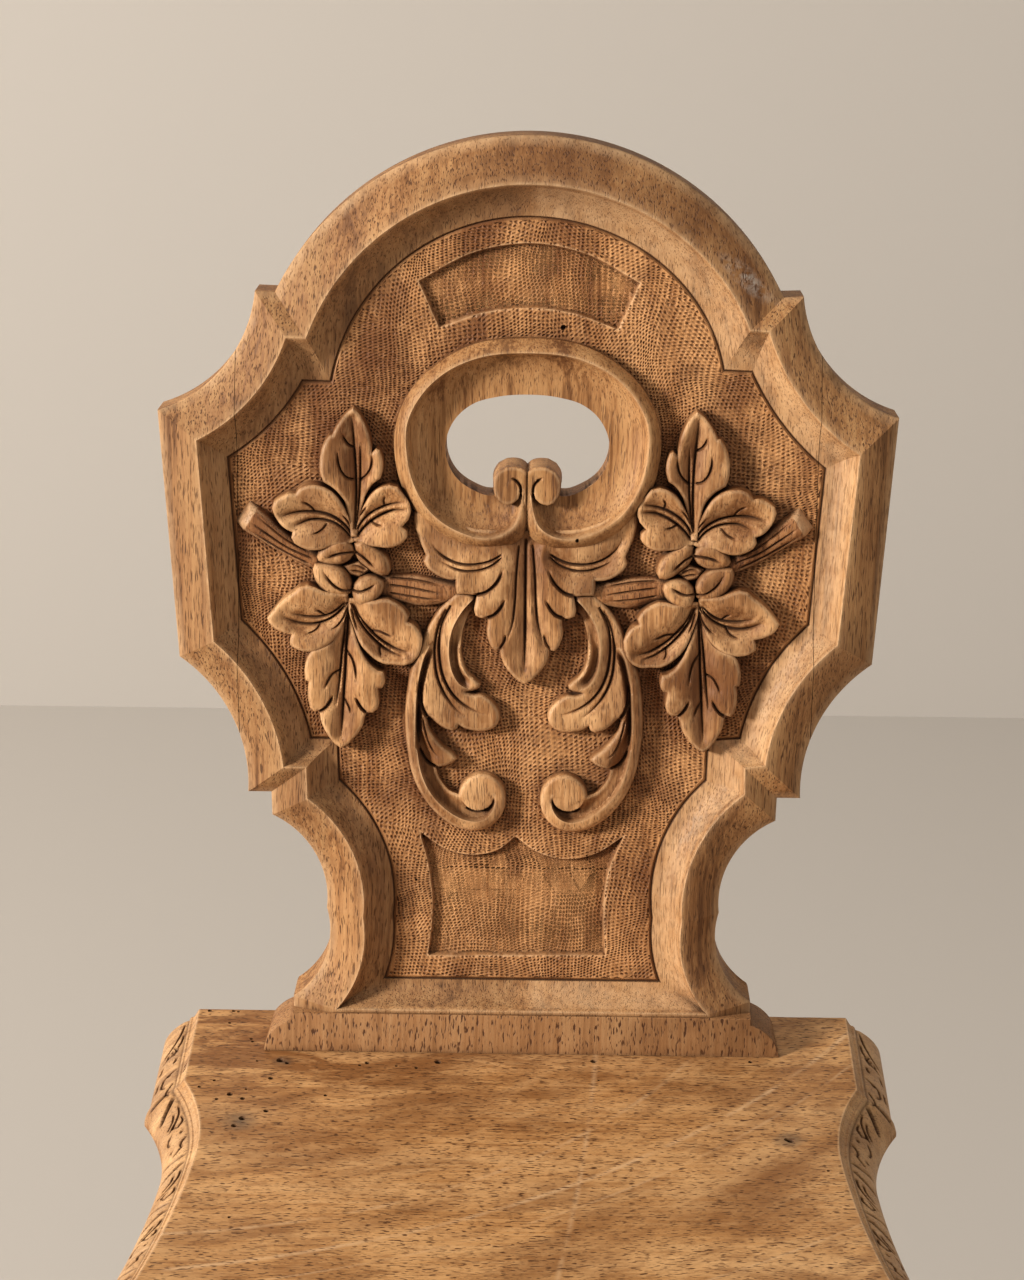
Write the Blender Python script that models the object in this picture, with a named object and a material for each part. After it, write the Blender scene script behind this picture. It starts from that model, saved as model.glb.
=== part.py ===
# Carved board chair. A moulded and carved back is tenoned through a shaped seat,
# two dovetailed battens run under the seat, and four splayed octagonal legs stand in them.
# Metres, +Z up, the sitter looks along -Y. The origin is on the floor under the middle
# of the chair's box.

import math

import bpy
import bmesh
from mathutils import Matrix, Vector, geometry

# The chair as a whole
seat_height = 0.445
back_rake = math.radians(10.0)
fit_gap = 0.0003
cut_overrun = 0.006
join_depth = 0.004
weld_distance = 0.00001

# Back board: depths are measured forwards from its rear face
back_length = 0.477
back_half_width = 0.187
ridge_depth = 0.036
edge_depth = 0.027
ground_depth = 0.024
ridge_inset = 0.0225
groove_inset = 0.0362
ear_joint_offset = 0.147

# Outline of the back's frame, one half, as shares of the half width and of the length
arch_end_shares = (0.6790, 0.8417)
shoulder_tip_shares = (0.7326, 0.8380)
upper_scoop_shares = (0.8166, 0.7560)
ear_top_shares = (0.9985, 0.7080)
ear_foot_shares = (0.9492, 0.4400)
lower_scoop_shares = (0.8176, 0.3824)
hip_tip_shares = (0.7642, 0.2900)
hip_corner_shares = (0.7000, 0.2900)
waist_top_shares = (0.6979, 0.2640)
waist_upper_shares = (0.5872, 0.2260)
waist_shares = (0.5476, 0.1583)
waist_lower_shares = (0.5583, 0.0956)
waist_foot_shares = (0.6420, 0.0560)
# How far ridge and groove lie in from each stretch, as shares of the plain insets
arch_inset_shares = (1.07, 1.10)
shoulder_inset_shares = (1.06, 1.22)
scoop_inset_shares = (1.02, 1.05)
side_inset_shares = (1.00, 0.95)
hip_inset_shares = (0.71, 0.78)
hip_side_inset_shares = (0.91, 0.95)
plain_inset_shares = (0.98, 1.00)

# Plinth of the back, with a quarter round at each end
plinth_half_width = 0.1353
plinth_height = 0.021
plinth_proud = 0.001
round_width = 0.0153
round_height = 0.0172
round_bulge_shares = (0.62, 0.60)

# Hand hole, its dished ring and the two curled ends
ring_centre_height = 0.322
ring_half_width = 0.0665
ring_half_height = 0.0540
ring_rise = 0.0080
ring_shoulder = 0.0035
rim_width = 0.0080
hole_half_width = 0.0415
hole_half_height = 0.0260
dish_rim_drop = 0.0040
dish_floor_depth = 0.0225
dish_half_way_share = 0.55
dish_cove_share = 0.80
curl_radius = 0.0074
curl_offset = 0.0103
curl_drop = 0.0210
curl_depth = 0.0285
stem_half_width = 0.0040

# Sunk panels above and below the ring
panel_sink = 0.0018
arc_panel_top_shares = ((0.297, 0.8475), (0.0, 0.8875))
arc_panel_foot_shares = ((0.241, 0.7975), (0.0, 0.8195))
low_panel_top_shares = ((0.274, 0.2395), (0.127, 0.2160), (0.0, 0.2395))
low_panel_foot_shares = ((0.243, 0.1685), (0.243, 0.1085))

# Carving in relief: heights above the sunk ground
leaf_rise = 0.0075
leaf_small_rise = 0.0095
twig_rise = 0.0055
scroll_rise = 0.0065
relief_chamfer = 0.0014
relief_root = 0.003

# Leaves of one spray: base, tip and half width, as shares of the half width and length
spray_leaf_shares = (
    ((0.472, 0.545), (0.460, 0.7160), 0.078),
    ((0.472, 0.556), (0.684, 0.6115), 0.066),
    ((0.468, 0.556), (0.310, 0.6050), 0.062),
    ((0.478, 0.528), (0.698, 0.4960), 0.064),
    ((0.468, 0.528), (0.286, 0.4510), 0.068),
    ((0.474, 0.530), (0.492, 0.3480), 0.084),
)
spray_leaflet_shares = (
    ((0.472, 0.556), (0.566, 0.5560), 0.030),
    ((0.476, 0.560), (0.392, 0.5450), 0.032),
    ((0.474, 0.528), (0.566, 0.5400), 0.034),
    ((0.472, 0.524), (0.388, 0.5260), 0.030),
)
twig_shares = (
    ((0.540, 0.5480), (0.768, 0.6060), 0.026),
    ((0.400, 0.5250), (0.180, 0.5150), 0.029),
)

# Leaf under the ring, one half from the top round to its tip
palmette_shares = (
    (0.0, 0.600),
    (0.290, 0.600),
    (0.272, 0.550),
    (0.186, 0.519),
    (0.128, 0.493),
    (0.086, 0.457),
    (0.0, 0.4187),
)

# C scroll: its spine from the top round to the curl, and half widths along it
scroll_spine_shares = (
    (0.170, 0.502),
    (0.262, 0.458),
    (0.298, 0.390),
    (0.292, 0.325),
    (0.226, 0.276),
    (0.140, 0.268),
)
scroll_half_width_shares = (0.030, 0.032, 0.030, 0.030, 0.034, 0.040)
scroll_curl_shares = (0.108, 0.2905)
scroll_curl_radius = 0.0105
scroll_leaf_shares = (
    ((0.250, 0.440), (0.072, 0.3810), 0.046),
    ((0.276, 0.372), (0.186, 0.3260), 0.034),
)

# Tenons of the back and the keys under the battens
tenon_half_width = 0.022
tenon_rear_cheek = 0.006
tenon_thickness = 0.020
tenon_length = 0.089
key_length = 0.060
key_width = 0.012
key_thick_end = 0.017
key_thin_end = 0.012
key_forward = 0.004

# Seat: places are measured from the front foot of the back, +Y to the rear
seat_rear = 0.041
seat_front = 0.345
seat_half_width = 0.214
seat_thickness = 0.032
edge_round_width = 0.0199
edge_round_height = 0.0245
under_chamfer_width = 0.008
under_chamfer_height = 0.005
edge_round_width_shares = (0.065, 0.19, 0.375, 0.165, 0.205)
edge_round_height_shares = (0.178, 0.285, 0.225, 0.125, 0.187)
# Outline of the seat, one half, as shares of its half width and of its front reach
seat_rear_side_shares = (0.9040, 0.0800)
seat_cusp_shares = (0.9110, -0.0970)
seat_scoop_shares = (0.8600, -0.1750)
seat_waist_shares = (0.8420, -0.2840)
seat_flare_shares = (0.8860, -0.5000)
seat_front_side_shares = (1.0000, -0.7600)
seat_corner_shares = (0.9680, -0.8620)
seat_front_end_shares = (0.8200, -0.9250)

# Battens, dovetailed into the underside of the seat from the rear
batten_offset = 0.095
batten_half_width = 0.040
batten_drop = 0.020
batten_chamfer = 0.004
batten_rear = 0.036
batten_front = 0.292
groove_depth = 0.011
groove_top_half_width = 0.033
groove_neck_half_width = 0.028

# Legs, octagonal and tapered, with round tenons wedged in the battens
leg_top_width = 0.042
leg_foot_width = 0.027
leg_sides = 8
leg_rear_place = 0.056
leg_front_place = 0.245
leg_side_splay = math.radians(14.0)
leg_rear_splay = math.radians(13.0)
leg_front_splay = math.radians(8.0)
leg_tenon_radius = 0.0125
wedge_length = 0.020
wedge_thick_end = 0.0035
wedge_thin_end = 0.0012
wedge_half_width = 0.0085

arc_steps = 9
ring_steps = 40
tenon_steps = 20

curl_centre_height = ring_centre_height - curl_drop
back_place = (back_length * math.sin(back_rake) + ridge_depth * math.cos(back_rake) - seat_front) / -2.0
batten_foot = seat_height - seat_thickness - batten_drop


def make_collection(name):
    collection = bpy.data.collections.new(name)
    bpy.context.scene.collection.children.link(collection)
    return collection


def make_material(name, colour, roughness):
    material = bpy.data.materials.new(name)
    material.use_nodes = True
    shader = material.node_tree.nodes["Principled BSDF"]
    shader.inputs["Base Color"].default_value = (*colour, 1.0)
    shader.inputs["Roughness"].default_value = roughness
    shader.inputs["Metallic"].default_value = 0.0
    return material


def make_object(name, bm, collection, material=None, parent=None):
    bmesh.ops.recalc_face_normals(bm, faces=bm.faces[:])
    mesh = bpy.data.meshes.new(name)
    bm.to_mesh(mesh)
    bm.free()
    obj = bpy.data.objects.new(name, mesh)
    collection.objects.link(obj)
    if material is None:
        obj.hide_render = True
        obj.display_type = "WIRE"
    else:
        mesh.materials.append(material)
    if parent is not None:
        obj.parent = parent
    return obj


def add_boolean(obj, other, operation):
    modifier = obj.modifiers.new(operation.lower() + "_" + other.name, "BOOLEAN")
    modifier.operation = operation
    modifier.solver = "EXACT"
    if isinstance(other, bpy.types.Collection):
        modifier.operand_type = "COLLECTION"
        modifier.collection = other
    else:
        modifier.object = other


def arc(start, through, end, steps=arc_steps):
    # Points after start, up to and with end, on the circle through the three points
    centre, radius, clockwise = circle_through(start, through, end)
    first = math.atan2(start[1] - centre.y, start[0] - centre.x)
    last = math.atan2(end[1] - centre.y, end[0] - centre.x)
    turn = (last - first) % math.tau
    if clockwise:
        turn -= math.tau
    points = []
    for i in range(1, steps + 1):
        angle = first + turn * i / steps
        points.append((centre.x + radius * math.cos(angle), centre.y + radius * math.sin(angle)))
    return points


def on_back(shares):
    return (shares[0] * back_half_width, shares[1] * back_length)


def mirrored(half):
    # A closed outline from its right half, which runs from top to bottom
    left = [(-x, y) for x, y in reversed(half) if x > 0.0]
    return half + left


def board_point(u, v, depth):
    # Across the board, up the board, and forwards from its rear face
    return Vector((u, ridge_depth - depth, v))


def board_prism(bm, outline, low, high, chamfer=0.0):
    # A raised form on the board between two depths, its front edge chamfered
    face = bm.faces.new([bm.verts.new(board_point(u, v, low)) for u, v in outline])
    grown = bmesh.ops.extrude_face_region(bm, geom=[face])["geom"]
    verts = [part for part in grown if isinstance(part, bmesh.types.BMVert)]
    front = [part for part in grown if isinstance(part, bmesh.types.BMFace)]
    bmesh.ops.translate(bm, verts=verts, vec=(0.0, low - high, 0.0))
    bmesh.ops.recalc_face_normals(bm, faces=bm.faces[:])
    if chamfer > 0.0:
        bmesh.ops.inset_region(bm, faces=front, thickness=chamfer, use_even_offset=True)
        for vert in {vert for part in front for vert in part.verts}:
            vert.co.y -= chamfer
    return front


def frame_stretches():
    # The stretches of the right half from the top down: end, point on its arc, and insets
    return [
        (on_back(arch_end_shares), None, arch_inset_shares),
        (on_back(shoulder_tip_shares), None, shoulder_inset_shares),
        (on_back(ear_top_shares), on_back(upper_scoop_shares), scoop_inset_shares),
        (on_back(ear_foot_shares), None, side_inset_shares),
        (on_back(hip_tip_shares), on_back(lower_scoop_shares), scoop_inset_shares),
        (on_back(hip_corner_shares), None, hip_inset_shares),
        (on_back(waist_top_shares), None, hip_side_inset_shares),
        (on_back(waist_shares), on_back(waist_upper_shares), plain_inset_shares),
        (on_back(waist_foot_shares), on_back(waist_lower_shares), plain_inset_shares),
    ]


def circle_through(start, through, end):
    # Centre, radius, and whether the arc turns clockwise
    a, b, c = Vector(start), Vector(through), Vector(end)
    twice_area = 2.0 * (b - a).cross(c - a)
    ab, ac = b - a, c - a
    centre = a + Vector((
        (ac.y * ab.length_squared - ab.y * ac.length_squared) / twice_area,
        (ab.x * ac.length_squared - ac.x * ab.length_squared) / twice_area,
    ))
    return centre, (a - centre).length, twice_area < 0.0


def moved_in(start, through, end, inset):
    # One stretch of the outline moved into the board: a line's two points, or a circle
    if through is None:
        along = (Vector(end) - Vector(start)).normalized()
        inward = Vector((along.y, -along.x)) * inset
        return (Vector(start) + inward, Vector(end) + inward)
    centre, radius, clockwise = circle_through(start, through, end)
    return (centre, radius - inset if clockwise else radius + inset)


def meeting(first, second, near):
    # Where two moved stretches cross, nearest to the corner between them
    round_first = isinstance(first[1], float)
    round_second = isinstance(second[1], float)
    if round_first and round_second:
        away = (Vector(near) - first[0]).normalized()
        return first[0] + away * first[1]
    if round_first:
        first, second = second, first
    if round_first or round_second:
        found = geometry.intersect_line_sphere_2d(*first, *second, False)
        found = [point for point in found if point is not None]
        return min(found, key=lambda point: (point - Vector(near)).length)
    along, other = first[1] - first[0], second[1] - second[0]
    return first[0] + along * (second[0] - first[0]).cross(other) / along.cross(other)


def frame_loop(level):
    # One closed loop of the frame: None is the outline, 0 the ridge and 1 the groove
    base = 0.0 if level is None else (ridge_inset, groove_inset)[level]
    top = Vector((0.0, back_length))
    arch_end = Vector(on_back(arch_end_shares))
    arch_middle = Vector(arc((-arch_end.x, arch_end.y), top, arch_end, 4)[2])
    corners, moved = [top], []
    for end, through, shares in frame_stretches():
        inset = 0.0 if level is None else base * shares[level]
        if len(corners) == 1:
            start, through = Vector((-arch_end.x, arch_end.y)), arch_middle
            first_inset = inset
        else:
            start = corners[-1]
        corners.append(Vector(end))
        moved.append(moved_in(start, through, end, inset))
    inset = 0.0 if level is None else base * plain_inset_shares[level]
    floor_line = (Vector((0.0, inset)), Vector((-back_half_width, inset)))
    points = [top - Vector((0.0, first_inset))]
    for number, stretch in enumerate(moved):
        start, corner = points[-1], corners[number + 1]
        if number + 1 < len(moved):
            end = meeting(stretch, moved[number + 1], corner)
        elif level is None:
            end = corner
        else:
            end = meeting(floor_line, stretch, corner)
        if isinstance(stretch[1], float):
            points += arc_about(stretch[0], start, end)
        else:
            points.append(end)
    if level is None:
        points.append(Vector((points[-1].x, 0.0)))
    else:
        points.append(points[-1].copy())
    return mirrored([tuple(point) for point in points])


def arc_about(centre, start, end):
    # The shorter way round from start to end, in even steps
    first = math.atan2(start.y - centre.y, start.x - centre.x)
    turn = (math.atan2(end.y - centre.y, end.x - centre.x) - first + math.pi) % math.tau - math.pi
    radius = (start - centre).length
    points = []
    for i in range(1, arc_steps + 1):
        angle = first + turn * i / arc_steps
        points.append(centre + Vector((math.cos(angle), math.sin(angle))) * radius)
    return points


def frame_mesh():
    # The outer slope rises to the ridge, and the inner slope falls to the sunk ground
    bm = bmesh.new()
    levels = ((None, 0.0), (None, edge_depth), (0, ridge_depth), (1, ground_depth))
    rings = []
    for level, depth in levels:
        rings.append([bm.verts.new(board_point(u, v, depth)) for u, v in frame_loop(level)])
    for low, high in zip(rings, rings[1:]):
        for i in range(len(low)):
            j = (i + 1) % len(low)
            bm.faces.new((low[i], low[j], high[j], high[i]))
    bm.faces.new(rings[0])
    bm.faces.new(rings[-1])
    bmesh.ops.remove_doubles(bm, verts=bm.verts[:], dist=weld_distance)
    bmesh.ops.recalc_face_normals(bm, faces=bm.faces[:])
    return bm


def cut_away(bm, place, outward):
    # Remove what lies beyond a plane and close the cut
    bmesh.ops.triangulate(bm, faces=bm.faces[:])
    geom = bm.verts[:] + bm.edges[:] + bm.faces[:]
    bmesh.ops.bisect_plane(bm, geom=geom, plane_co=place, plane_no=outward, clear_outer=True)
    bmesh.ops.holes_fill(bm, edges=[edge for edge in bm.edges if edge.is_boundary], sides=0)


def keep_between(bm, low, high):
    if low is not None:
        cut_away(bm, (low, 0.0, 0.0), (-1.0, 0.0, 0.0))
    if high is not None:
        cut_away(bm, (high, 0.0, 0.0), (1.0, 0.0, 0.0))
    return bm


def plinth_mesh():
    bm = bmesh.new()
    inner = plinth_half_width - round_width
    half = [(inner, plinth_height), (inner, round_height)]
    half += arc(
        half[-1],
        (inner + round_bulge_shares[0] * round_width, round_bulge_shares[1] * round_height),
        (plinth_half_width, 0.0),
        arc_steps // 2,
    )
    half.append((plinth_half_width, -cut_overrun))
    board_prism(bm, mirrored(half), 0.0, ridge_depth + plinth_proud)
    return bm


def ellipse(bm, half_width, half_height, depth):
    verts = bmesh.ops.create_circle(bm, segments=ring_steps, radius=1.0)["verts"]
    for vert in verts:
        vert.co = board_point(
            vert.co.x * half_width, ring_centre_height + vert.co.y * half_height, depth
        )
    return verts


def loft(bm, loops):
    # A closed body through ellipses given by half width, half height and depth
    rings = [ellipse(bm, *loop) for loop in loops]
    for low, high in zip(rings, rings[1:]):
        for i in range(ring_steps):
            j = (i + 1) % ring_steps
            bm.faces.new((low[i], low[j], high[j], high[i]))
    bm.faces.new(rings[0])
    bm.faces.new(rings[-1])


def ring_mesh():
    bm = bmesh.new()
    top = ground_depth + ring_rise
    loft(bm, (
        (ring_half_width, ring_half_height, ground_depth - relief_root),
        (ring_half_width, ring_half_height, top - ring_shoulder),
        (ring_half_width - ring_shoulder, ring_half_height - ring_shoulder, top),
    ))
    return bm


def dish_mesh():
    # The cutter for the dish falls from the rim in a cove, then runs through as the hole
    bm = bmesh.new()
    wide = ring_half_width - rim_width
    high = ring_half_height - rim_width
    top = ground_depth + ring_rise
    cove = dish_cove_share * dish_floor_depth + (1.0 - dish_cove_share) * top
    way = dish_half_way_share
    loft(bm, (
        (hole_half_width, hole_half_height, -cut_overrun),
        (hole_half_width, hole_half_height, dish_floor_depth),
        (
            way * wide + (1.0 - way) * hole_half_width,
            way * high + (1.0 - way) * hole_half_height,
            cove,
        ),
        (wide, high, top - dish_rim_drop),
        (wide, high, top + cut_overrun),
    ))
    return bm


def curl_mesh(side):
    bm = bmesh.new()
    verts = bmesh.ops.create_cone(
        bm, cap_ends=True, segments=tenon_steps, radius1=curl_radius, radius2=curl_radius,
        depth=curl_depth - join_depth
    )["verts"]
    turn = Matrix.Rotation(math.radians(90.0), 4, "X")
    place = board_point(side * curl_offset, curl_centre_height, (curl_depth + join_depth) / 2.0)
    bmesh.ops.transform(bm, verts=verts, matrix=Matrix.Translation(place) @ turn)
    return bm


def stem_mesh():
    # The two ends of the ring run together down to its foot
    bm = bmesh.new()
    foot = ring_centre_height - ring_half_height
    outline = [
        (stem_half_width, curl_centre_height),
        (stem_half_width, foot + rim_width),
        (stem_half_width + rim_width, foot + join_depth),
        (-stem_half_width - rim_width, foot + join_depth),
        (-stem_half_width, foot + rim_width),
        (-stem_half_width, curl_centre_height),
    ]
    board_prism(bm, outline, join_depth, ground_depth + ring_rise - relief_chamfer, relief_chamfer)
    return bm


def leaf_outline(base, tip, half_width):
    start, end = Vector(base), Vector(tip)
    along = end - start
    across = Vector((along.y, -along.x)).normalized() * half_width
    middle = start.lerp(end, 0.5)
    steps = arc_steps // 2
    right = arc(start, middle + across, end, steps)
    left = arc(end, middle - across, start, steps)
    return right + left


def spray_outlines(side):
    # Outline and height of every leaf and twig of one spray
    forms = []
    for table, rise in (
        (spray_leaf_shares, leaf_rise),
        (spray_leaflet_shares, leaf_small_rise),
    ):
        for base, tip, width in table:
            outline = leaf_outline(on_back(base), on_back(tip), width * back_half_width)
            forms.append((outline, rise))
    for base, tip, width in twig_shares:
        start, end = Vector(on_back(base)), Vector(on_back(tip))
        across = Vector((end.y - start.y, start.x - end.x)).normalized()
        across *= width * back_half_width
        outline = [start + across, end + across, end - across, start - across]
        forms.append(([tuple(point) for point in outline], twig_rise))
    return [([(side * u, v) for u, v in outline], rise) for outline, rise in forms]


def scroll_outlines(side):
    spine = [Vector(on_back(shares)) for shares in scroll_spine_shares]
    outer, inner = [], []
    for i, point in enumerate(spine):
        ahead = spine[min(i + 1, len(spine) - 1)] - spine[max(i - 1, 0)]
        across = Vector((ahead.y, -ahead.x)).normalized()
        across *= scroll_half_width_shares[i] * back_half_width
        outer.append(tuple(point + across))
        inner.append(tuple(point - across))
    forms = [outer + inner[::-1]]
    centre = Vector(on_back(scroll_curl_shares))
    forms.append([
        (
            centre.x + scroll_curl_radius * math.cos(math.tau * i / tenon_steps),
            centre.y + scroll_curl_radius * math.sin(math.tau * i / tenon_steps),
        )
        for i in range(tenon_steps)
    ])
    for base, tip, width in scroll_leaf_shares:
        forms.append(leaf_outline(on_back(base), on_back(tip), width * back_half_width))
    return [([(side * u, v) for u, v in outline], scroll_rise) for outline in forms]


def carving_meshes():
    # Every raised form is its own closed body, and the board is joined to all of them
    meshes = {"palmette": bmesh.new()}
    half = [on_back(shares) for shares in palmette_shares]
    board_prism(
        meshes["palmette"], mirrored(half), ground_depth - relief_root,
        ground_depth + leaf_rise - relief_chamfer, relief_chamfer
    )
    for hand, side in (("left", -1.0), ("right", 1.0)):
        for kind, forms in (("spray", spray_outlines(side)), ("scroll", scroll_outlines(side))):
            for number, (outline, rise) in enumerate(forms):
                bm = bmesh.new()
                board_prism(
                    bm, outline, ground_depth - relief_root,
                    ground_depth + rise - relief_chamfer, relief_chamfer
                )
                meshes[f"{kind}_{hand}_{number}"] = bm
    return meshes


def panel_mesh(top, foot):
    # A sunk panel, one half given from the middle of the top round to the middle of the foot
    bm = bmesh.new()
    board_prism(bm, mirrored(top + foot), ground_depth - panel_sink, ground_depth + cut_overrun)
    return bm


def arc_panel_mesh():
    end, crown = (on_back(shares) for shares in arc_panel_top_shares)
    low_end, low_crown = (on_back(shares) for shares in arc_panel_foot_shares)
    top = arc((-end[0], end[1]), crown, end, 2 * arc_steps)[arc_steps - 1:]
    top[0] = crown
    foot = arc(low_end, low_crown, (-low_end[0], low_end[1]), 2 * arc_steps)[:arc_steps]
    foot[-1] = low_crown
    return panel_mesh(top, [low_end] + foot)


def low_panel_mesh():
    end, dip, cusp = (on_back(shares) for shares in low_panel_top_shares)
    narrow, foot = (on_back(shares) for shares in low_panel_foot_shares)
    top = [cusp] + arc(cusp, dip, end)
    return panel_mesh(top, arc(end, narrow, foot, arc_steps // 2) + [(0.0, foot[1])])


def tenon_mesh(side, gap=0.0):
    # The tenon, or with a gap the mortise that takes it
    bm = bmesh.new()
    centre = side * batten_offset
    reach = tenon_half_width + gap
    top = plinth_height / 2.0
    outline = [
        (centre - reach, top),
        (centre + reach, top),
        (centre + reach, -tenon_length - gap),
        (centre - reach, -tenon_length - gap),
    ]
    board_prism(
        bm, outline, tenon_rear_cheek - gap, tenon_rear_cheek + tenon_thickness + gap
    )
    return bm


def key_mesh(side, gap=0.0):
    # A tapered key under the batten, its flat side up, pushed in from the rear
    bm = bmesh.new()
    middle = ridge_depth - tenon_rear_cheek - tenon_thickness / 2.0
    drop = seat_thickness + batten_drop + fit_gap
    y_middle = back_place + middle - math.tan(back_rake) * drop - key_forward
    x_middle = side * batten_offset
    top = batten_foot - fit_gap + gap
    near = y_middle + key_length / 2.0 + gap
    far = y_middle - key_length / 2.0 - gap
    section = [
        (near, top),
        (near, top - key_thick_end - 2.0 * gap),
        (far, top - key_thin_end - 2.0 * gap),
        (far, top),
    ]
    verts = [bm.verts.new((x_middle - key_width / 2.0 - gap, y, z)) for y, z in section]
    grown = bmesh.ops.extrude_face_region(bm, geom=[bm.faces.new(verts)])["geom"]
    moved = [part for part in grown if isinstance(part, bmesh.types.BMVert)]
    bmesh.ops.translate(bm, verts=moved, vec=(key_width + 2.0 * gap, 0.0, 0.0))
    return bm


def seat_point(shares):
    return (shares[0] * seat_half_width, shares[1] * seat_front)


def seat_mesh():
    # The edge is an ovolo under a small bead, cut square across at the rear
    rear_side = seat_point(seat_rear_side_shares)
    cusp = seat_point(seat_cusp_shares)
    waist = seat_point(seat_waist_shares)
    front_side = seat_point(seat_front_side_shares)
    front_end = seat_point(seat_front_end_shares)
    over = seat_rear + edge_round_width + cut_overrun
    half = [(rear_side[0], over), (rear_side[0], cusp[1] + edge_round_width / 3.0), cusp]
    half += arc(cusp, seat_point(seat_scoop_shares), waist)
    half += arc(waist, seat_point(seat_flare_shares), front_side)
    half += arc(front_side, seat_point(seat_corner_shares), front_end, arc_steps // 2)
    front = arc(front_end, (0.0, -seat_front), (-front_end[0], front_end[1]), 2 * arc_steps)
    outline = half + front[:-1] + [(-x, y) for x, y in reversed(half)]
    bm = bmesh.new()
    low = -seat_thickness + under_chamfer_height
    face = bm.faces.new([bm.verts.new((x, y, low)) for x, y in outline])
    grown = bmesh.ops.extrude_face_region(bm, geom=[face])["geom"]
    moved = [part for part in grown if isinstance(part, bmesh.types.BMVert)]
    top = [part for part in grown if isinstance(part, bmesh.types.BMFace)]
    band_foot = -edge_round_height
    bmesh.ops.translate(bm, verts=moved, vec=(0.0, 0.0, band_foot - low))
    bmesh.ops.recalc_face_normals(bm, faces=bm.faces[:])
    for width_share, height_share in zip(edge_round_width_shares, edge_round_height_shares):
        bmesh.ops.inset_region(
            bm, faces=top, thickness=width_share * edge_round_width, use_even_offset=True
        )
        for vert in {vert for part in top for vert in part.verts}:
            vert.co.z += height_share * edge_round_height
    bmesh.ops.inset_region(
        bm, faces=[face], thickness=under_chamfer_width, use_even_offset=True
    )
    for vert in face.verts:
        vert.co.z = -seat_thickness
    cut_away(bm, (0.0, seat_rear, 0.0), (0.0, 1.0, 0.0))
    bmesh.ops.translate(bm, verts=bm.verts[:], vec=(0.0, back_place, seat_height))
    return bm


def batten_mesh(side, gap=0.0):
    # The dovetailed batten, or with a gap the groove that takes it
    seat_foot = seat_height - seat_thickness
    top = groove_top_half_width + gap
    neck = groove_neck_half_width + gap
    crown = seat_foot + groove_depth - fit_gap + gap
    half = [(top, crown), (neck, seat_foot - fit_gap)]
    if gap > 0.0:
        half.append((neck, seat_foot - cut_overrun))
        rear = seat_rear + cut_overrun
    else:
        half.append((batten_half_width, seat_foot - fit_gap))
        half.append((batten_half_width, batten_foot + batten_chamfer))
        half.append((batten_half_width - batten_chamfer, batten_foot))
        rear = batten_rear
    bm = bmesh.new()
    outline = half + [(-x, z) for x, z in reversed(half)]
    front = back_place - batten_front - gap
    verts = [bm.verts.new((side * batten_offset + x, front, z)) for x, z in outline]
    grown = bmesh.ops.extrude_face_region(bm, geom=[bm.faces.new(verts)])["geom"]
    moved = [part for part in grown if isinstance(part, bmesh.types.BMVert)]
    bmesh.ops.translate(bm, verts=moved, vec=(0.0, back_place + rear - front, 0.0))
    return bm


def leg_axis(side, end):
    # Where the leg's middle line meets the batten's underside, and its downward direction
    if end == "rear":
        place, splay = -leg_rear_place, math.tan(leg_rear_splay)
    else:
        place, splay = -leg_front_place, -math.tan(leg_front_splay)
    top = Vector((side * batten_offset, back_place + place, batten_foot))
    return top, Vector((side * math.tan(leg_side_splay), splay, -1.0)).normalized()


def rod(bm, start, along, length, low_radius, high_radius, sides, spin=0.0):
    # A round or many-sided rod from start, with its second radius at the far end
    verts = bmesh.ops.create_cone(
        bm, cap_ends=True, segments=sides, radius1=low_radius, radius2=high_radius, depth=length
    )["verts"]
    turn = Vector((0.0, 0.0, 1.0)).rotation_difference(along).to_matrix().to_4x4()
    place = Matrix.Translation(start + along * length / 2.0)
    bmesh.ops.transform(bm, verts=verts, matrix=place @ turn @ Matrix.Rotation(spin, 4, "Z"))


def trim(bm, height, keep):
    # Cut square to the floor at a height; keep is "above" or "below"
    cut_away(bm, (0.0, 0.0, height), (0.0, 0.0, 1.0 if keep == "below" else -1.0))


def leg_mesh(side, end):
    top, down = leg_axis(side, end)
    over = leg_top_width
    length = batten_foot / -down.z + 2.0 * over
    widen = 1.0 / math.cos(math.pi / leg_sides) / 2.0
    bm = bmesh.new()
    rod(
        bm, top - down * over, down, length, widen * leg_top_width, widen * leg_foot_width,
        leg_sides, math.pi / leg_sides
    )
    trim(bm, batten_foot - fit_gap, "below")
    trim(bm, 0.0, "above")
    return bm


def leg_tenon_mesh(side, end, gap=0.0):
    top, down = leg_axis(side, end)
    reach = (batten_drop + groove_depth) / -down.z
    bm = bmesh.new()
    radius = leg_tenon_radius + gap
    over = join_depth + leg_tenon_radius
    rod(bm, top + down * over, -down, reach + 2.0 * over, radius, radius, tenon_steps)
    if gap == 0.0:
        trim(bm, seat_height - seat_thickness + groove_depth - 2.0 * fit_gap, "below")
    return bm


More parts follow.
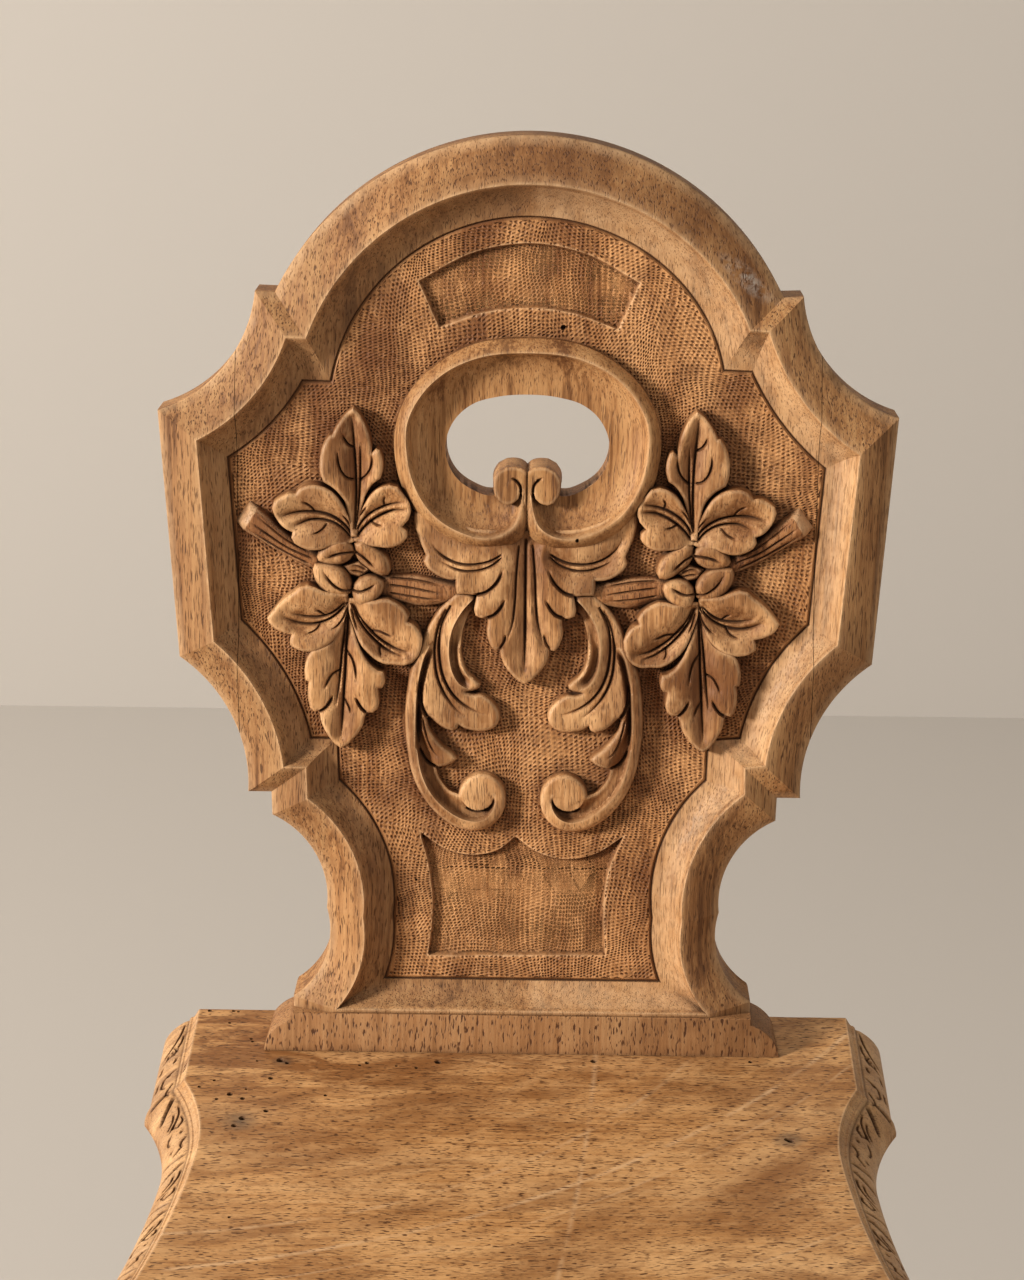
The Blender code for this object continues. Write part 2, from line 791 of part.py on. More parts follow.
def wedge_mesh(side, end, gap=0.0):
    # A thin wedge driven into the top of a leg's tenon, across the batten's grain
    top, down = leg_axis(side, end)
    crown = seat_height - seat_thickness + groove_depth - 2.0 * fit_gap
    centre = top + down * ((top.z - crown) / -down.z)
    thick = wedge_thick_end / 2.0 + gap
    thin = wedge_thin_end / 2.0 + gap
    reach = wedge_half_width + gap
    lift = cut_overrun if gap > 0.0 else 0.0
    bm = bmesh.new()
    section = [(-thick, lift), (thick, lift), (thin, -wedge_length - gap), (-thin, -wedge_length - gap)]
    verts = [bm.verts.new((-reach, y, z)) for y, z in section]
    grown = bmesh.ops.extrude_face_region(bm, geom=[bm.faces.new(verts)])["geom"]
    moved = [part for part in grown if isinstance(part, bmesh.types.BMVert)]
    bmesh.ops.translate(bm, verts=moved, vec=(2.0 * reach, 0.0, 0.0))
    turn = Vector((0.0, 0.0, -1.0)).rotation_difference(down).to_matrix().to_4x4()
    bmesh.ops.transform(bm, verts=bm.verts[:], matrix=Matrix.Translation(centre) @ turn)
    if gap == 0.0:
        trim(bm, crown, "below")
    return bm


def floor_cutter_mesh():
    # Everything of the back below the seat's top face, before its tenons are joined on
    bm = bmesh.new()
    reach = 2.0 * back_half_width
    verts = bmesh.ops.create_cube(bm, size=1.0)["verts"]
    bmesh.ops.scale(bm, verts=verts, vec=(2.0 * reach, 2.0 * reach, seat_height))
    middle = (0.0, back_place, seat_height / 2.0 + fit_gap)
    bmesh.ops.translate(bm, verts=verts, vec=middle)
    return bm


def make_back(chair, cutters, materials):
    placing = bpy.data.objects.new("back_placing", None)
    chair.objects.link(placing)
    placing.location = (0.0, back_place, seat_height)
    placing.rotation_euler = (-back_rake, 0.0, 0.0)
    half_gap = fit_gap / 2.0
    centre = make_object(
        "back_board",
        keep_between(frame_mesh(), half_gap - ear_joint_offset, ear_joint_offset - half_gap),
        chair, materials["back"], placing
    )
    make_object(
        "back_ear_left", keep_between(frame_mesh(), None, -ear_joint_offset - half_gap),
        chair, materials["back"].copy(), placing
    )
    make_object(
        "back_ear_right", keep_between(frame_mesh(), ear_joint_offset + half_gap, None),
        chair, materials["back"].copy(), placing
    )
    additions = make_collection("back additions")
    make_object("plinth", plinth_mesh(), additions, None, placing)
    make_object("ring", ring_mesh(), additions, None, placing)
    for name, bm in carving_meshes().items():
        make_object(name, bm, additions, None, placing)
    recesses = make_collection("back recesses")
    make_object("dish", dish_mesh(), recesses, None, placing)
    make_object("arc_panel", arc_panel_mesh(), recesses, None, placing)
    make_object("low_panel", low_panel_mesh(), recesses, None, placing)
    make_object("seat_plane", floor_cutter_mesh(), recesses)
    ends = make_collection("ring ends and tenons")
    make_object("stem", stem_mesh(), ends, None, placing)
    for hand, side in (("left", -1.0), ("right", 1.0)):
        make_object("curl_" + hand, curl_mesh(side), ends, None, placing)
        make_object("tenon_" + hand, tenon_mesh(side), ends, None, placing)
    key_slots = make_collection("key slots")
    for hand, side in (("left", -1.0), ("right", 1.0)):
        make_object("key_slot_" + hand, key_mesh(side, fit_gap), key_slots)
        make_object("mortise_" + hand, tenon_mesh(side, fit_gap), cutters, None, placing)
    add_boolean(centre, additions, "UNION")
    add_boolean(centre, recesses, "DIFFERENCE")
    add_boolean(centre, ends, "UNION")
    add_boolean(centre, key_slots, "DIFFERENCE")


def make_seat(chair, cutters, materials):
    seat = make_object("seat_board", seat_mesh(), chair, materials["seat"])
    for hand, side in (("left", -1.0), ("right", 1.0)):
        groove = make_object("groove_" + hand, batten_mesh(side, fit_gap), cutters)
        add_boolean(seat, groove, "DIFFERENCE")
        add_boolean(seat, bpy.data.objects["mortise_" + hand], "DIFFERENCE")


def make_underframe(chair, cutters, materials):
    for hand, side in (("left", -1.0), ("right", 1.0)):
        batten = make_object(
            "batten_" + hand, batten_mesh(side), chair, materials["under"].copy()
        )
        add_boolean(batten, bpy.data.objects["mortise_" + hand], "DIFFERENCE")
        make_object("key_" + hand, key_mesh(side), chair, materials["key"].copy())
        for end in ("front", "rear"):
            name = f"{end}_{hand}"
            leg = make_object("leg_" + name, leg_mesh(side, end), chair, materials["leg"].copy())
            tenon = make_object("leg_tenon_" + name, leg_tenon_mesh(side, end), cutters)
            socket = make_object("socket_" + name, leg_tenon_mesh(side, end, fit_gap), cutters)
            kerf = make_object("kerf_" + name, wedge_mesh(side, end, fit_gap), cutters)
            add_boolean(leg, tenon, "UNION")
            add_boolean(leg, kerf, "DIFFERENCE")
            add_boolean(batten, socket, "DIFFERENCE")
            make_object(
                "leg_wedge_" + name, wedge_mesh(side, end), chair, materials["key"].copy()
            )


def main():
    for obj in list(bpy.data.objects):
        bpy.data.objects.remove(obj, do_unlink=True)
    chair = make_collection("carved chair")
    cutters = make_collection("cutters")
    materials = {
        "back": make_material("walnut back", (0.30, 0.165, 0.080), 0.52),
        "seat": make_material("walnut seat", (0.37, 0.215, 0.110), 0.48),
        "under": make_material("walnut batten", (0.27, 0.150, 0.075), 0.60),
        "leg": make_material("walnut leg", (0.29, 0.160, 0.080), 0.52),
        "key": make_material("beech key", (0.45, 0.300, 0.170), 0.55),
    }
    make_back(chair, cutters, materials)
    make_seat(chair, cutters, materials)
    make_underframe(chair, cutters, materials)


main()
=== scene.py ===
import math

import bmesh
import bpy
import numpy as np
from mathutils import Matrix, Vector, geometry, kdtree, noise


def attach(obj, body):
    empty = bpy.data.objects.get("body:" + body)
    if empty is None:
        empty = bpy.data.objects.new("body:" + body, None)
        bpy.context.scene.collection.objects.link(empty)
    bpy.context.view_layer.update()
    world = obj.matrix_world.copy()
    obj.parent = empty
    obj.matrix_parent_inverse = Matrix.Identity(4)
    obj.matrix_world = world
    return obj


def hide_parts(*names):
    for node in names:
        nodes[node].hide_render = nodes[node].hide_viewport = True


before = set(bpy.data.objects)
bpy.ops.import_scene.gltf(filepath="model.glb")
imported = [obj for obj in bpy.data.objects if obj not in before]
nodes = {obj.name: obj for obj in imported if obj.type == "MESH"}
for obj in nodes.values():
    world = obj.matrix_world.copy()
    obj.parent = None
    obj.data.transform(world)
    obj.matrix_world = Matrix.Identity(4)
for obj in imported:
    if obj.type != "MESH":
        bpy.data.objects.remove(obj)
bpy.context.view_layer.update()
mm = 0.001

# The carved board's own axes: across, up the board, and forward from its rear face (in mm in the tables)
board = {
    "place": 0.1133585,
    "seatHeight": 0.445,
    "rake": math.radians(10.0),
    "ridgeDepth": 0.036,
    "groundDepth": 0.024,
    "length": 0.477,
    "halfWidth": 0.187,
    "glueLine": 0.147,
    "glueGap": 0.0003,
}
seatMatrix = Matrix.Translation((0.0, board["place"], board["seatHeight"]))
boardMatrix = seatMatrix @ Matrix.Rotation(-board["rake"], 4, "X")


# Lines and triangles

def smoothLine(points, step, closed=False, bend=46.0):
    # A smooth line in even steps through the points; where it turns more than bend degrees a corner stays
    pts = [Vector(p) for p in points]
    count = len(pts)

    def aims(i):
        before = pts[i] - pts[i - 1]
        after = pts[(i + 1) % count] - pts[i]
        if not closed and i == 0:
            return after.normalized(), after.normalized()
        if not closed and i == count - 1:
            return before.normalized(), before.normalized()
        if before.angle(after) > math.radians(bend):
            return before.normalized(), after.normalized()
        both = (before.normalized() * after.length + after.normalized() * before.length).normalized()
        return both, both

    line = []
    for i in range(count if closed else count - 1):
        a, b = pts[i], pts[(i + 1) % count]
        long = (b - a).length
        leave, arrive = aims(i)[1] * long, aims((i + 1) % count)[0] * long
        parts = max(1, round(long / step))
        for k in range(parts):
            t = k / parts
            line.append(tuple(
                a * (2 * t**3 - 3 * t**2 + 1) + leave * (t**3 - 2 * t**2 + t)
                + b * (3 * t**2 - 2 * t**3) + arrive * (t**3 - t**2)
            ))
    if not closed:
        line.append(tuple(pts[-1]))
    return line


def nearest(places, line, closed=False):
    # How far each place is from a line, and how far along the line its nearest point lies (0 to 1)
    a = np.array(line, float)
    b = np.roll(a, -1, 0)
    if not closed:
        a, b = a[:-1], b[:-1]
    d = b - a
    square = np.maximum((d * d).sum(1), 1e-12)
    gaps, along = np.empty(len(places)), np.empty(len(places))
    batch = 3000
    for start in range(0, len(places), batch):
        p = places[start:start + batch, None]
        t = np.clip(((p - a) * d).sum(2) / square, 0, 1)
        off = p - (a + t[..., None] * d)
        gap = np.sqrt((off * off).sum(2))
        k = gap.argmin(1)
        rows = np.arange(len(k))
        gaps[start:start + batch] = gap[rows, k]
        along[start:start + batch] = (k + t[rows, k]) / len(a)
    return gaps, along


def sideways(ahead):
    # Steps of length 1 to the right of each direction
    return np.stack([ahead[:, 1], -ahead[:, 0]], 1) / np.maximum(np.linalg.norm(ahead, axis=1), 1e-9)[:, None]


def circle(parts, count):
    turns = [math.tau * i / parts for i in range(count)]
    return np.array([(math.cos(turn), math.sin(turn)) for turn in turns])


def inside(places, loop):
    # Which places lie inside a loop
    x, y = places[:, 0], places[:, 1]
    hit = np.zeros(len(places), bool)
    a = np.array(loop, float)
    for (ax, ay), (bx, by) in zip(a, np.roll(a, -1, 0)):
        if ay != by:
            hit ^= ((ay > y) != (by > y)) & (x < (bx - ax) * (y - ay) / (by - ay) + ax)
    return hit


def triangles(loop, seeds, holes=(), lines=(), clear=0.5):
    # Triangles over the inside of a loop; seeds too near a line are left out.
    # Gives the places, the faces, and for each place the number of its seed, or -1
    places, edges = [tuple(p) for p in loop], [(i, (i + 1) % len(loop)) for i in range(len(loop))]
    for hole in holes:
        first = len(places)
        places += [tuple(p) for p in hole]
        edges += [(first + i, first + (i + 1) % len(hole)) for i in range(len(hole))]
    for line in lines:
        first = len(places)
        places += [tuple(p) for p in line]
        edges += [(first + i, first + i + 1) for i in range(len(line) - 1)]
    tree = kdtree.KDTree(len(places))
    for i, p in enumerate(places):
        tree.insert((p[0], p[1], 0.0), i)
    tree.balance()
    good = inside(seeds, loop)
    for hole in holes:
        good &= ~inside(seeds, hole)
    fixed = len(places)
    numbers = [
        i for i in np.flatnonzero(good)
        if tree.find((seeds[i, 0], seeds[i, 1], 0.0))[2] > clear
    ]
    places += [tuple(seeds[i]) for i in numbers]
    made = geometry.delaunay_2d_cdt([Vector(p) for p in places], edges, [], 1, 1e-5)
    spots = np.array([tuple(p) for p in made[0]])
    faces = [face for face in made[2] if len(face) == 3]
    if holes:
        middles = np.array([spots[list(face)].mean(0) for face in faces])
        out = np.zeros(len(faces), bool)
        for hole in holes:
            out |= inside(middles, hole)
        faces = [face for face, gone in zip(faces, out) if not gone]
    origin = np.full(len(spots), -1)
    for i, sources in enumerate(made[3]):
        for source in sources:
            if source >= fixed:
                origin[i] = numbers[source - fixed]
    return spots, faces, origin


def hexSeeds(loop, step):
    # Even seeds for triangles with equal sides
    a = np.array(loop)
    low, high = a.min(0), a.max(0)
    rows = np.arange(low[1], high[1], step * 0.866)
    seeds = []
    for i, v in enumerate(rows):
        us = np.arange(low[0] + (i % 2) * step / 2, high[0], step)
        seeds.append(np.stack([us, np.full(len(us), v)], 1))
    return np.concatenate(seeds)


# Worm holes: reach and wall in radii, depth in mm, and the rings of places round each
wormHole = {"reach": 1.06, "wall": 0.2, "depth": 2.6, "rings": (0.45, 0.86, 1.08), "corners": 10}


def holeSeeds(holes):
    ring = circle(wormHole["corners"], wormHole["corners"])
    return np.concatenate([
        ring * radius * share + (x, y) for x, y, radius in holes for share in wormHole["rings"]
    ])


# Worm holes sink the surface and are painted dark inside: dirt and painted shade
def bored(places, holes, height, dirtAndShadeMask):
    for u, v, radius in holes:
        away = np.hypot(places[:, 0] - u, places[:, 1] - v)
        hole = np.clip((radius * wormHole["reach"] - away) / (radius * wormHole["wall"]), 0.0, 1.0)
        height -= wormHole["depth"] * hole
        dirtAndShadeMask = np.maximum(dirtAndShadeMask, hole)
    return height, dirtAndShadeMask


def rough(places, size, seed):
    # Smooth noise from -1 to 1 over the board, in mm
    return np.array([noise.noise((u / size + seed, v / size, seed * 1.7)) for u, v in places])


def boardSpot(u, v, depth):
    # mm across and up the board, mm forward from its rear face
    return Vector((u * mm, board["ridgeDepth"] - depth * mm, v * mm))


def meshOf(name, bm):
    mesh = bpy.data.meshes.new(name)
    bm.to_mesh(mesh)
    bm.free()
    return mesh


def placed(name, data):
    thing = bpy.data.objects.new(name, data)
    bpy.context.scene.collection.objects.link(thing)
    return thing


def finishPiece(name, bm, material, replaced=(), sharp=34.0, matrix=None):
    # Edges that turn sharply, and those already marked so, stay crisp
    if matrix is not None:
        bmesh.ops.transform(bm, matrix=matrix, verts=bm.verts[:])
    limit = math.radians(sharp)
    for edge in bm.edges:
        if edge.is_manifold and edge.calc_face_angle(0.0) > limit:
            edge.smooth = False
    for face in bm.faces:
        face.smooth = True
    mesh = meshOf(name, bm)
    mesh.materials.append(material)
    piece = placed(name, mesh)
    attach(piece, "root")
    if replaced:
        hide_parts(*replaced)
    print(name, len(mesh.polygons), "faces")
    return piece


# Materials

def add(tree, kind, sockets=None, **settings):
    made = tree.nodes.new(kind)
    for key, value in settings.items():
        setattr(made, key, value)
    for key, value in (sockets or {}).items():
        if isinstance(value, bpy.types.NodeSocket):
            tree.links.new(value, made.inputs[key])
        else:
            made.inputs[key].default_value = value
    return made


def maths(tree, operation, first, second=0.5, clamp=False):
    return add(tree, "ShaderNodeMath", {0: first, 1: second}, operation=operation, use_clamp=clamp).outputs[0]


def times(tree, first, second):
    return maths(tree, "MULTIPLY", first, second)


def vectors(tree, operation, first, second, output="Vector"):
    return add(tree, "ShaderNodeVectorMath", {0: first, 1: second}, operation=operation).outputs[output]


def mixed(tree, share, first, second, blend="MIX"):
    return add(
        tree, "ShaderNodeMix", {0: share, 6: first, 7: second},
        data_type="RGBA", blend_type=blend
    ).outputs[2]


def spread(tree, value, low, high, start=0.0, end=1.0):
    return add(
        tree, "ShaderNodeMapRange", {"Value": value, 1: low, 2: high, 3: start, 4: end}
    ).outputs[0]


def stretched(tree, vector, scales):
    across, along = scales
    return add(tree, "ShaderNodeMapping", {"Vector": vector, "Scale": (across, across, along)}).outputs[0]


def noised(tree, vector, detail=2.0, roughness=0.5, scale=1.0, distortion=0.0, output="Fac"):
    return add(
        tree, "ShaderNodeTexNoise",
        {"Vector": vector, "Scale": scale, "Detail": detail, "Roughness": roughness, "Distortion": distortion}
    ).outputs[output]


def objectPlace(tree):
    return add(tree, "ShaderNodeTexCoord").outputs["Object"]


# Colours from pale to dirt, whose colour also serves as painted shade; scales are across and along the grain,
# in waves to the metre
woodLook = {
    "pale": (0.52, 0.272, 0.108, 1.0),
    "middle": (0.35, 0.155, 0.053, 1.0),
    "dark": (0.165, 0.066, 0.021, 1.0),
    "pore": (0.085, 0.032, 0.012, 1.0),
    "dirtAndShade": (0.050, 0.022, 0.010, 1.0),
    "wearAndSheen": (0.78, 0.50, 0.27, 1.0),
    "wander": (9.0, 2.2),
    "wanderReach": 0.022,
    "grainAcross": 70.0,
    "grainAlong": 2.6,
    "streakScale": (560.0, 16.0),
    "bandShare": 0.58,
    "streakShare": 0.42,
    "toneLow": 0.38,
    "toneHigh": 0.60,
    "clouds": (30.0, 16.0),
    "cloudAmount": 0.40,
    "pores": 0.80,
    "poreScale": (1650.0, 120.0),
    "poreUnderRubAndSheen": 0.75,
    "fleckScale": (1500.0, 210.0),
    "flecks": 0.35,
    "stain": 0.55,
    "stainScale": 13.0,
    "stainFrom": (0.50, 0.68),
    "rubAndSheen": 0.62,
    "rubAndSheenScale": 110.0,
    "unevenScale": 70.0,
    "dirtAndShadeReach": 0.006,
    "dirtAndShadeAmount": 0.92,
    "patinaAndShade": 0.60,
    "patinaAndShadeReach": 0.020,
    "occlusionSamples": 6,
    "roughness": 0.56,
    "specular": 0.22,
    "bump": 0.45,
    "bumpReach": 0.00040,
}


def woodMaterial(name, turn=(0.0, 0.0, 0.0), place=(0.0, 0.0, 0.0), changes=None, extra=None):
    # The grain runs along Z of the turned coordinates; extra may change the colour before the dirt and
    # painted shade
    look = dict(woodLook, **(changes or {}))
    material = bpy.data.materials.new(name)
    material.use_nodes = True
    tree = material.node_tree
    shader = tree.nodes["Principled BSDF"]
    own = add(
        tree, "ShaderNodeMapping",
        {"Vector": objectPlace(tree), "Location": place, "Rotation": turn}, vector_type="TEXTURE"
    ).outputs[0]
    reach = look["wanderReach"]
    wander = noised(tree, stretched(tree, own, look["wander"]), output="Color")
    wander = vectors(tree, "SUBTRACT", wander, (0.5, 0.5, 0.5))
    grain = vectors(tree, "ADD", own, vectors(tree, "MULTIPLY", wander, (reach, reach, 0.0)))

    bands = noised(tree, stretched(tree, grain, (look["grainAcross"], look["grainAlong"])), 4.0, 0.55)
    streaks = noised(tree, stretched(tree, grain, look["streakScale"]))
    pores = noised(tree, stretched(tree, grain, look["poreScale"]), 1.0, 0.4)
    flecks = noised(tree, stretched(tree, grain, look["fleckScale"]), 2.0, 0.6)
    stain = noised(tree, own, 4.0, 0.6, look["stainScale"])
    clouds = noised(tree, stretched(tree, own, look["clouds"]), 3.0, 0.6)

    def over(colour, share, amount, top):
        return mixed(tree, times(tree, share, amount), colour, top)

    # Grain, clouds, stains and flecks
    low, high = look["toneLow"], look["toneHigh"]
    half = (low + high) / 2.0
    tone = maths(
        tree, "ADD", times(tree, bands, look["bandShare"]), times(tree, streaks, look["streakShare"])
    )
    colour = mixed(tree, spread(tree, tone, low, half), look["dark"], look["middle"])
    colour = mixed(tree, spread(tree, tone, half - 0.02, high + 0.04), colour, look["pale"])
    colour = over(colour, spread(tree, clouds, 0.48, 0.72), look["cloudAmount"], look["pale"])
    colour = over(colour, spread(tree, stain, *look["stainFrom"]), look["stain"], look["dark"])
    colour = over(colour, spread(tree, flecks, 0.54, 0.70), look["flecks"], look["dark"])
    if extra is not None:
        colour = extra(tree, own, grain, colour, look)

    # Rubbed edges, where the pores are nearly filled; the same layer also paints a pale painted highlight on
    # some faces that turn to the lamp
    wearAndSheen = add(tree, "ShaderNodeAttribute", attribute_name="wearAndSheen").outputs["Fac"]
    rubAndSheen = times(tree, wearAndSheen, spread(tree, noised(tree, own, 3.0, 0.6, look["rubAndSheenScale"]), 0.12, 0.66))
    colour = over(colour, rubAndSheen, look["rubAndSheen"], look["wearAndSheen"])
    poreAt = spread(tree, pores, 0.58, 0.68)
    filled = times(tree, wearAndSheen, look["pores"] * look["poreUnderRubAndSheen"])
    colour = over(colour, poreAt, maths(tree, "SUBTRACT", look["pores"], filled, clamp=True), look["pore"])

    # Patina and painted shade in the wide hollows, dirt and painted shade in the narrow ones and in the
    # marked pits, cuts and walls; the hollows are found by occlusion, so this darkening falls where shade
    # falls
    def hollow(distance):
        return add(
            tree, "ShaderNodeAmbientOcclusion", {"Distance": distance}, samples=look["occlusionSamples"]
        ).outputs["AO"]

    uneven = maths(tree, "SUBTRACT", noised(tree, own, 3.0, 0.6, look["unevenScale"]), 0.5)
    wide = maths(tree, "ADD", hollow(look["patinaAndShadeReach"]), times(tree, uneven, 0.7))
    colour = over(colour, spread(tree, wide, 0.92, 0.45), look["patinaAndShade"], look["dark"])
    narrow = maths(tree, "ADD", hollow(look["dirtAndShadeReach"]), times(tree, uneven, 0.40))
    dirtAndShadeMask = add(tree, "ShaderNodeAttribute", attribute_name="dirtAndShadeMask").outputs["Fac"]
    dirtAndShade = maths(tree, "MAXIMUM", spread(tree, narrow, 0.74, 0.26), dirtAndShadeMask)
    colour = over(colour, dirtAndShade, look["dirtAndShadeAmount"], look["dirtAndShade"])
    tree.links.new(colour, shader.inputs["Base Color"])

    gloss = maths(tree, "SUBTRACT", streaks, 0.5)
    gloss = maths(tree, "ADD", look["roughness"], times(tree, gloss, 0.24))
    gloss = maths(tree, "SUBTRACT", gloss, times(tree, rubAndSheen, 0.10))
    gloss = maths(tree, "ADD", gloss, times(tree, dirtAndShade, 0.22), clamp=True)
    tree.links.new(gloss, shader.inputs["Roughness"])
    shader.inputs["Specular IOR Level"].default_value = look["specular"]
    height = maths(tree, "SUBTRACT", times(tree, maths(tree, "ADD", streaks, flecks), 0.45), poreAt)
    bump = add(
        tree, "ShaderNodeBump",
        {"Height": height, "Strength": look["bump"], "Distance": look["bumpReach"]}
    ).outputs[0]
    tree.links.new(bump, shader.inputs["Normal"])
    return material


# The top of the arch has darkened, and a pale scuff lies at its right end
archMarks = {
    "from": (0.400, 0.462),
    "grime": 0.74,
    "grimeScale": 19.0,
    "scuffPlace": (0.109, 0.0, 0.407),
    "scuffTurn": 0.72,
    "scuffLength": 0.26,
    "scuffReach": (0.022, 0.004),
    "scuffScale": 210.0,
    "scuff": 0.45,
    "scuffColour": (0.70, 0.62, 0.52, 1.0),
}


def archGrime(tree, own, grain, colour, look):
    high = spread(tree, add(tree, "ShaderNodeSeparateXYZ", {0: own}).outputs["Z"], *archMarks["from"])
    patch = spread(tree, noised(tree, own, 4.0, 0.62, archMarks["grimeScale"]), 0.34, 0.56)
    share = times(tree, high, patch)
    colour = mixed(tree, times(tree, share, archMarks["grime"]), colour, look["dark"])
    streak = add(
        tree, "ShaderNodeMapping",
        {
            "Vector": own, "Location": archMarks["scuffPlace"],
            "Rotation": (0.0, archMarks["scuffTurn"], 0.0), "Scale": (1.0, 1.0, archMarks["scuffLength"]),
        },
        vector_type="TEXTURE"
    ).outputs[0]
    streak = add(tree, "ShaderNodeSeparateXYZ", {0: streak}).outputs
    across, along = (times(tree, streak[axis], streak[axis]) for axis in ("Z", "X"))
    off = maths(tree, "SQRT", maths(tree, "ADD", across, along))
    fine = spread(tree, noised(tree, own, 4.0, 0.7, archMarks["scuffScale"]), 0.42, 0.60)
    scuff = times(tree, spread(tree, off, *archMarks["scuffReach"]), fine)
    return mixed(tree, times(tree, scuff, archMarks["scuff"]), colour, archMarks["scuffColour"])


# Carving and ground that hands have darkened in patches and rubbed pale in others
handMarks = {
    "scale": (58.0, 34.0),
    "dark": 0.62,
    "darkFrom": (0.50, 0.64),
    "pale": 0.60,
    "paleFrom": (0.46, 0.34),
}


def handled(tree, own, grain, colour, look):
    patch = noised(tree, stretched(tree, grain, handMarks["scale"]), 4.0, 0.6)
    for tone in ("dark", "pale"):
        share = times(tree, spread(tree, patch, *handMarks[tone + "From"]), handMarks[tone])
        colour = mixed(tree, share, colour, look[tone])
    return colour


def tones(*colours):
    return {name: (*colour, 1.0) for name, colour in zip(("pale", "middle", "dark"), colours)}


boardTurn = {"turn": (-board["rake"], 0.0, 0.0), "place": (0.0, board["place"], board["seatHeight"])}
frameWood = woodMaterial(
    "walnutFrame", **boardTurn, extra=archGrime,
    changes={"patinaAndShade": 0.35, "patinaAndShadeReach": 0.012, "pores": 0.88, "poreScale": (1500.0, 140.0), "bump": 0.6}
)
plinthWood = woodMaterial(
    "walnutPlinth", **boardTurn,
    changes={
        **tones((0.48, 0.262, 0.115), (0.36, 0.168, 0.064)),
        "toneLow": 0.26, "toneHigh": 0.72, "pores": 1.0, "poreScale": (1000.0, 230.0),
        "stain": 0.6, "patinaAndShade": 0.45,
    }
)
groundWood = woodMaterial(
    "walnutPunchedGround", **boardTurn, extra=handled,
    changes={
        **tones((0.70, 0.352, 0.140), (0.45, 0.198, 0.068), (0.17, 0.060, 0.019)),
        "grainAcross": 40.0, "toneLow": 0.32, "toneHigh": 0.58, "pores": 0.25, "bump": 0.25, "patinaAndShade": 0.85,
        "stain": 0.85, "stainFrom": (0.47, 0.66), "dirtAndShadeReach": 0.0032, "dirtAndShadeAmount": 0.80,
    }
)
carvedWood = woodMaterial(
    "walnutCarving", **boardTurn, extra=handled,
    changes={
        **tones((0.77, 0.435, 0.195), (0.48, 0.226, 0.083), (0.17, 0.062, 0.019)),
        "pores": 0.60, "dirtAndShadeReach": 0.005, "patinaAndShadeReach": 0.018, "patinaAndShade": 0.95, "stain": 0.85,
        "stainFrom": (0.44, 0.66), "toneLow": 0.33, "toneHigh": 0.63,
    }
)
ringWood = woodMaterial(
    "walnutRing", **boardTurn,
    changes={
        **tones((0.55, 0.292, 0.118), (0.40, 0.186, 0.066), (0.16, 0.062, 0.020)),
        "pores": 0.65, "dirtAndShadeReach": 0.005, "stain": 0.65,
    }
)
# The twigs' wood is darker: partly a darker patina, partly painted shade where they lie low among the leaves
twigWoodAndShade = woodMaterial(
    "walnutTwigsAndShade", **boardTurn,
    changes={
        **tones((0.43, 0.200, 0.078), (0.30, 0.120, 0.041), (0.14, 0.050, 0.017)),
        "dirtAndShadeReach": 0.005, "stain": 0.7, "bump": 0.8,
    }
)
print("materials ready")


# The frame round the board. Shares of the half width and length, as the solid's outline has them

frameShape = {
    "archEnd": (0.6790, 0.8345),
    "shoulderTip": (0.7326, 0.8352),
    "upperScoop": (0.8166, 0.7560),
    "earTop": (0.9985, 0.7080),
    "earFoot": (0.9492, 0.4400),
    "lowerScoop": (0.8176, 0.3824),
    "hipTip": (0.7642, 0.2900),
    "hipCorner": (0.7000, 0.2900),
    "waistTop": (0.6979, 0.2640),
    "waistUpper": (0.5872, 0.2260),
    "waist": (0.5476, 0.1583),
    "waistLower": (0.5583, 0.0956),
    "waistFoot": (0.6420, 0.0560),
    "ridgeInset": 22.5,
    "grooveInset": 36.2,
    "lip": 1.1,
    "arcParts": 30,
    "straightParts": 4,
    "sideParts": 3,
    "floorParts": 12,
}


def onBack(key):
    across, up = frameShape[key]
    return Vector((across * board["halfWidth"] / mm, up * board["length"] / mm))


def circleThrough(start, through, end):
    # Centre, radius, and whether the way round is clockwise
    ab, ac = through - start, end - start
    twice = 2.0 * ab.cross(ac)
    centre = start + Vector((
        (ac.y * ab.length_squared - ab.y * ac.length_squared) / twice,
        (ab.x * ac.length_squared - ac.x * ab.length_squared) / twice,
    ))
    return centre, (start - centre).length, twice < 0.0


def movedIn(start, through, end, inset):
    # A stretch moved inward: both ends of a straight one, or the centre and radius of an arc
    if through is None:
        along = (end - start).normalized()
        inward = Vector((along.y, -along.x)) * inset
        return (start + inward, end + inward)
    centre, radius, clockwise = circleThrough(start, through, end)
    return (centre, radius - inset if clockwise else radius + inset)


def meeting(first, second, near):
    # Where two moved stretches meet, near the corner that they have on the outline
    roundFirst, roundSecond = isinstance(first[1], float), isinstance(second[1], float)
    if roundFirst and roundSecond:
        return first[0] + (near - first[0]).normalized() * first[1]
    if roundFirst:
        first, second = second, first
    if roundFirst or roundSecond:
        found = [p for p in geometry.intersect_line_sphere_2d(*first, *second, False) if p is not None]
        return min(found, key=lambda p: (p - near).length)
    along, other = first[1] - first[0], second[1] - second[0]
    return first[0] + along * (second[0] - first[0]).cross(other) / along.cross(other)


def arcAbout(centre, start, end, parts):
    # Places along the shorter arc, without its start
    first = math.atan2(start.y - centre.y, start.x - centre.x)
    turn = (math.atan2(end.y - centre.y, end.x - centre.x) - first + math.pi) % math.tau - math.pi
    radius = (start - centre).length
    return [
        centre + Vector((math.cos(first + turn * i / parts), math.sin(first + turn * i / parts))) * radius
        for i in range(1, parts + 1)
    ]


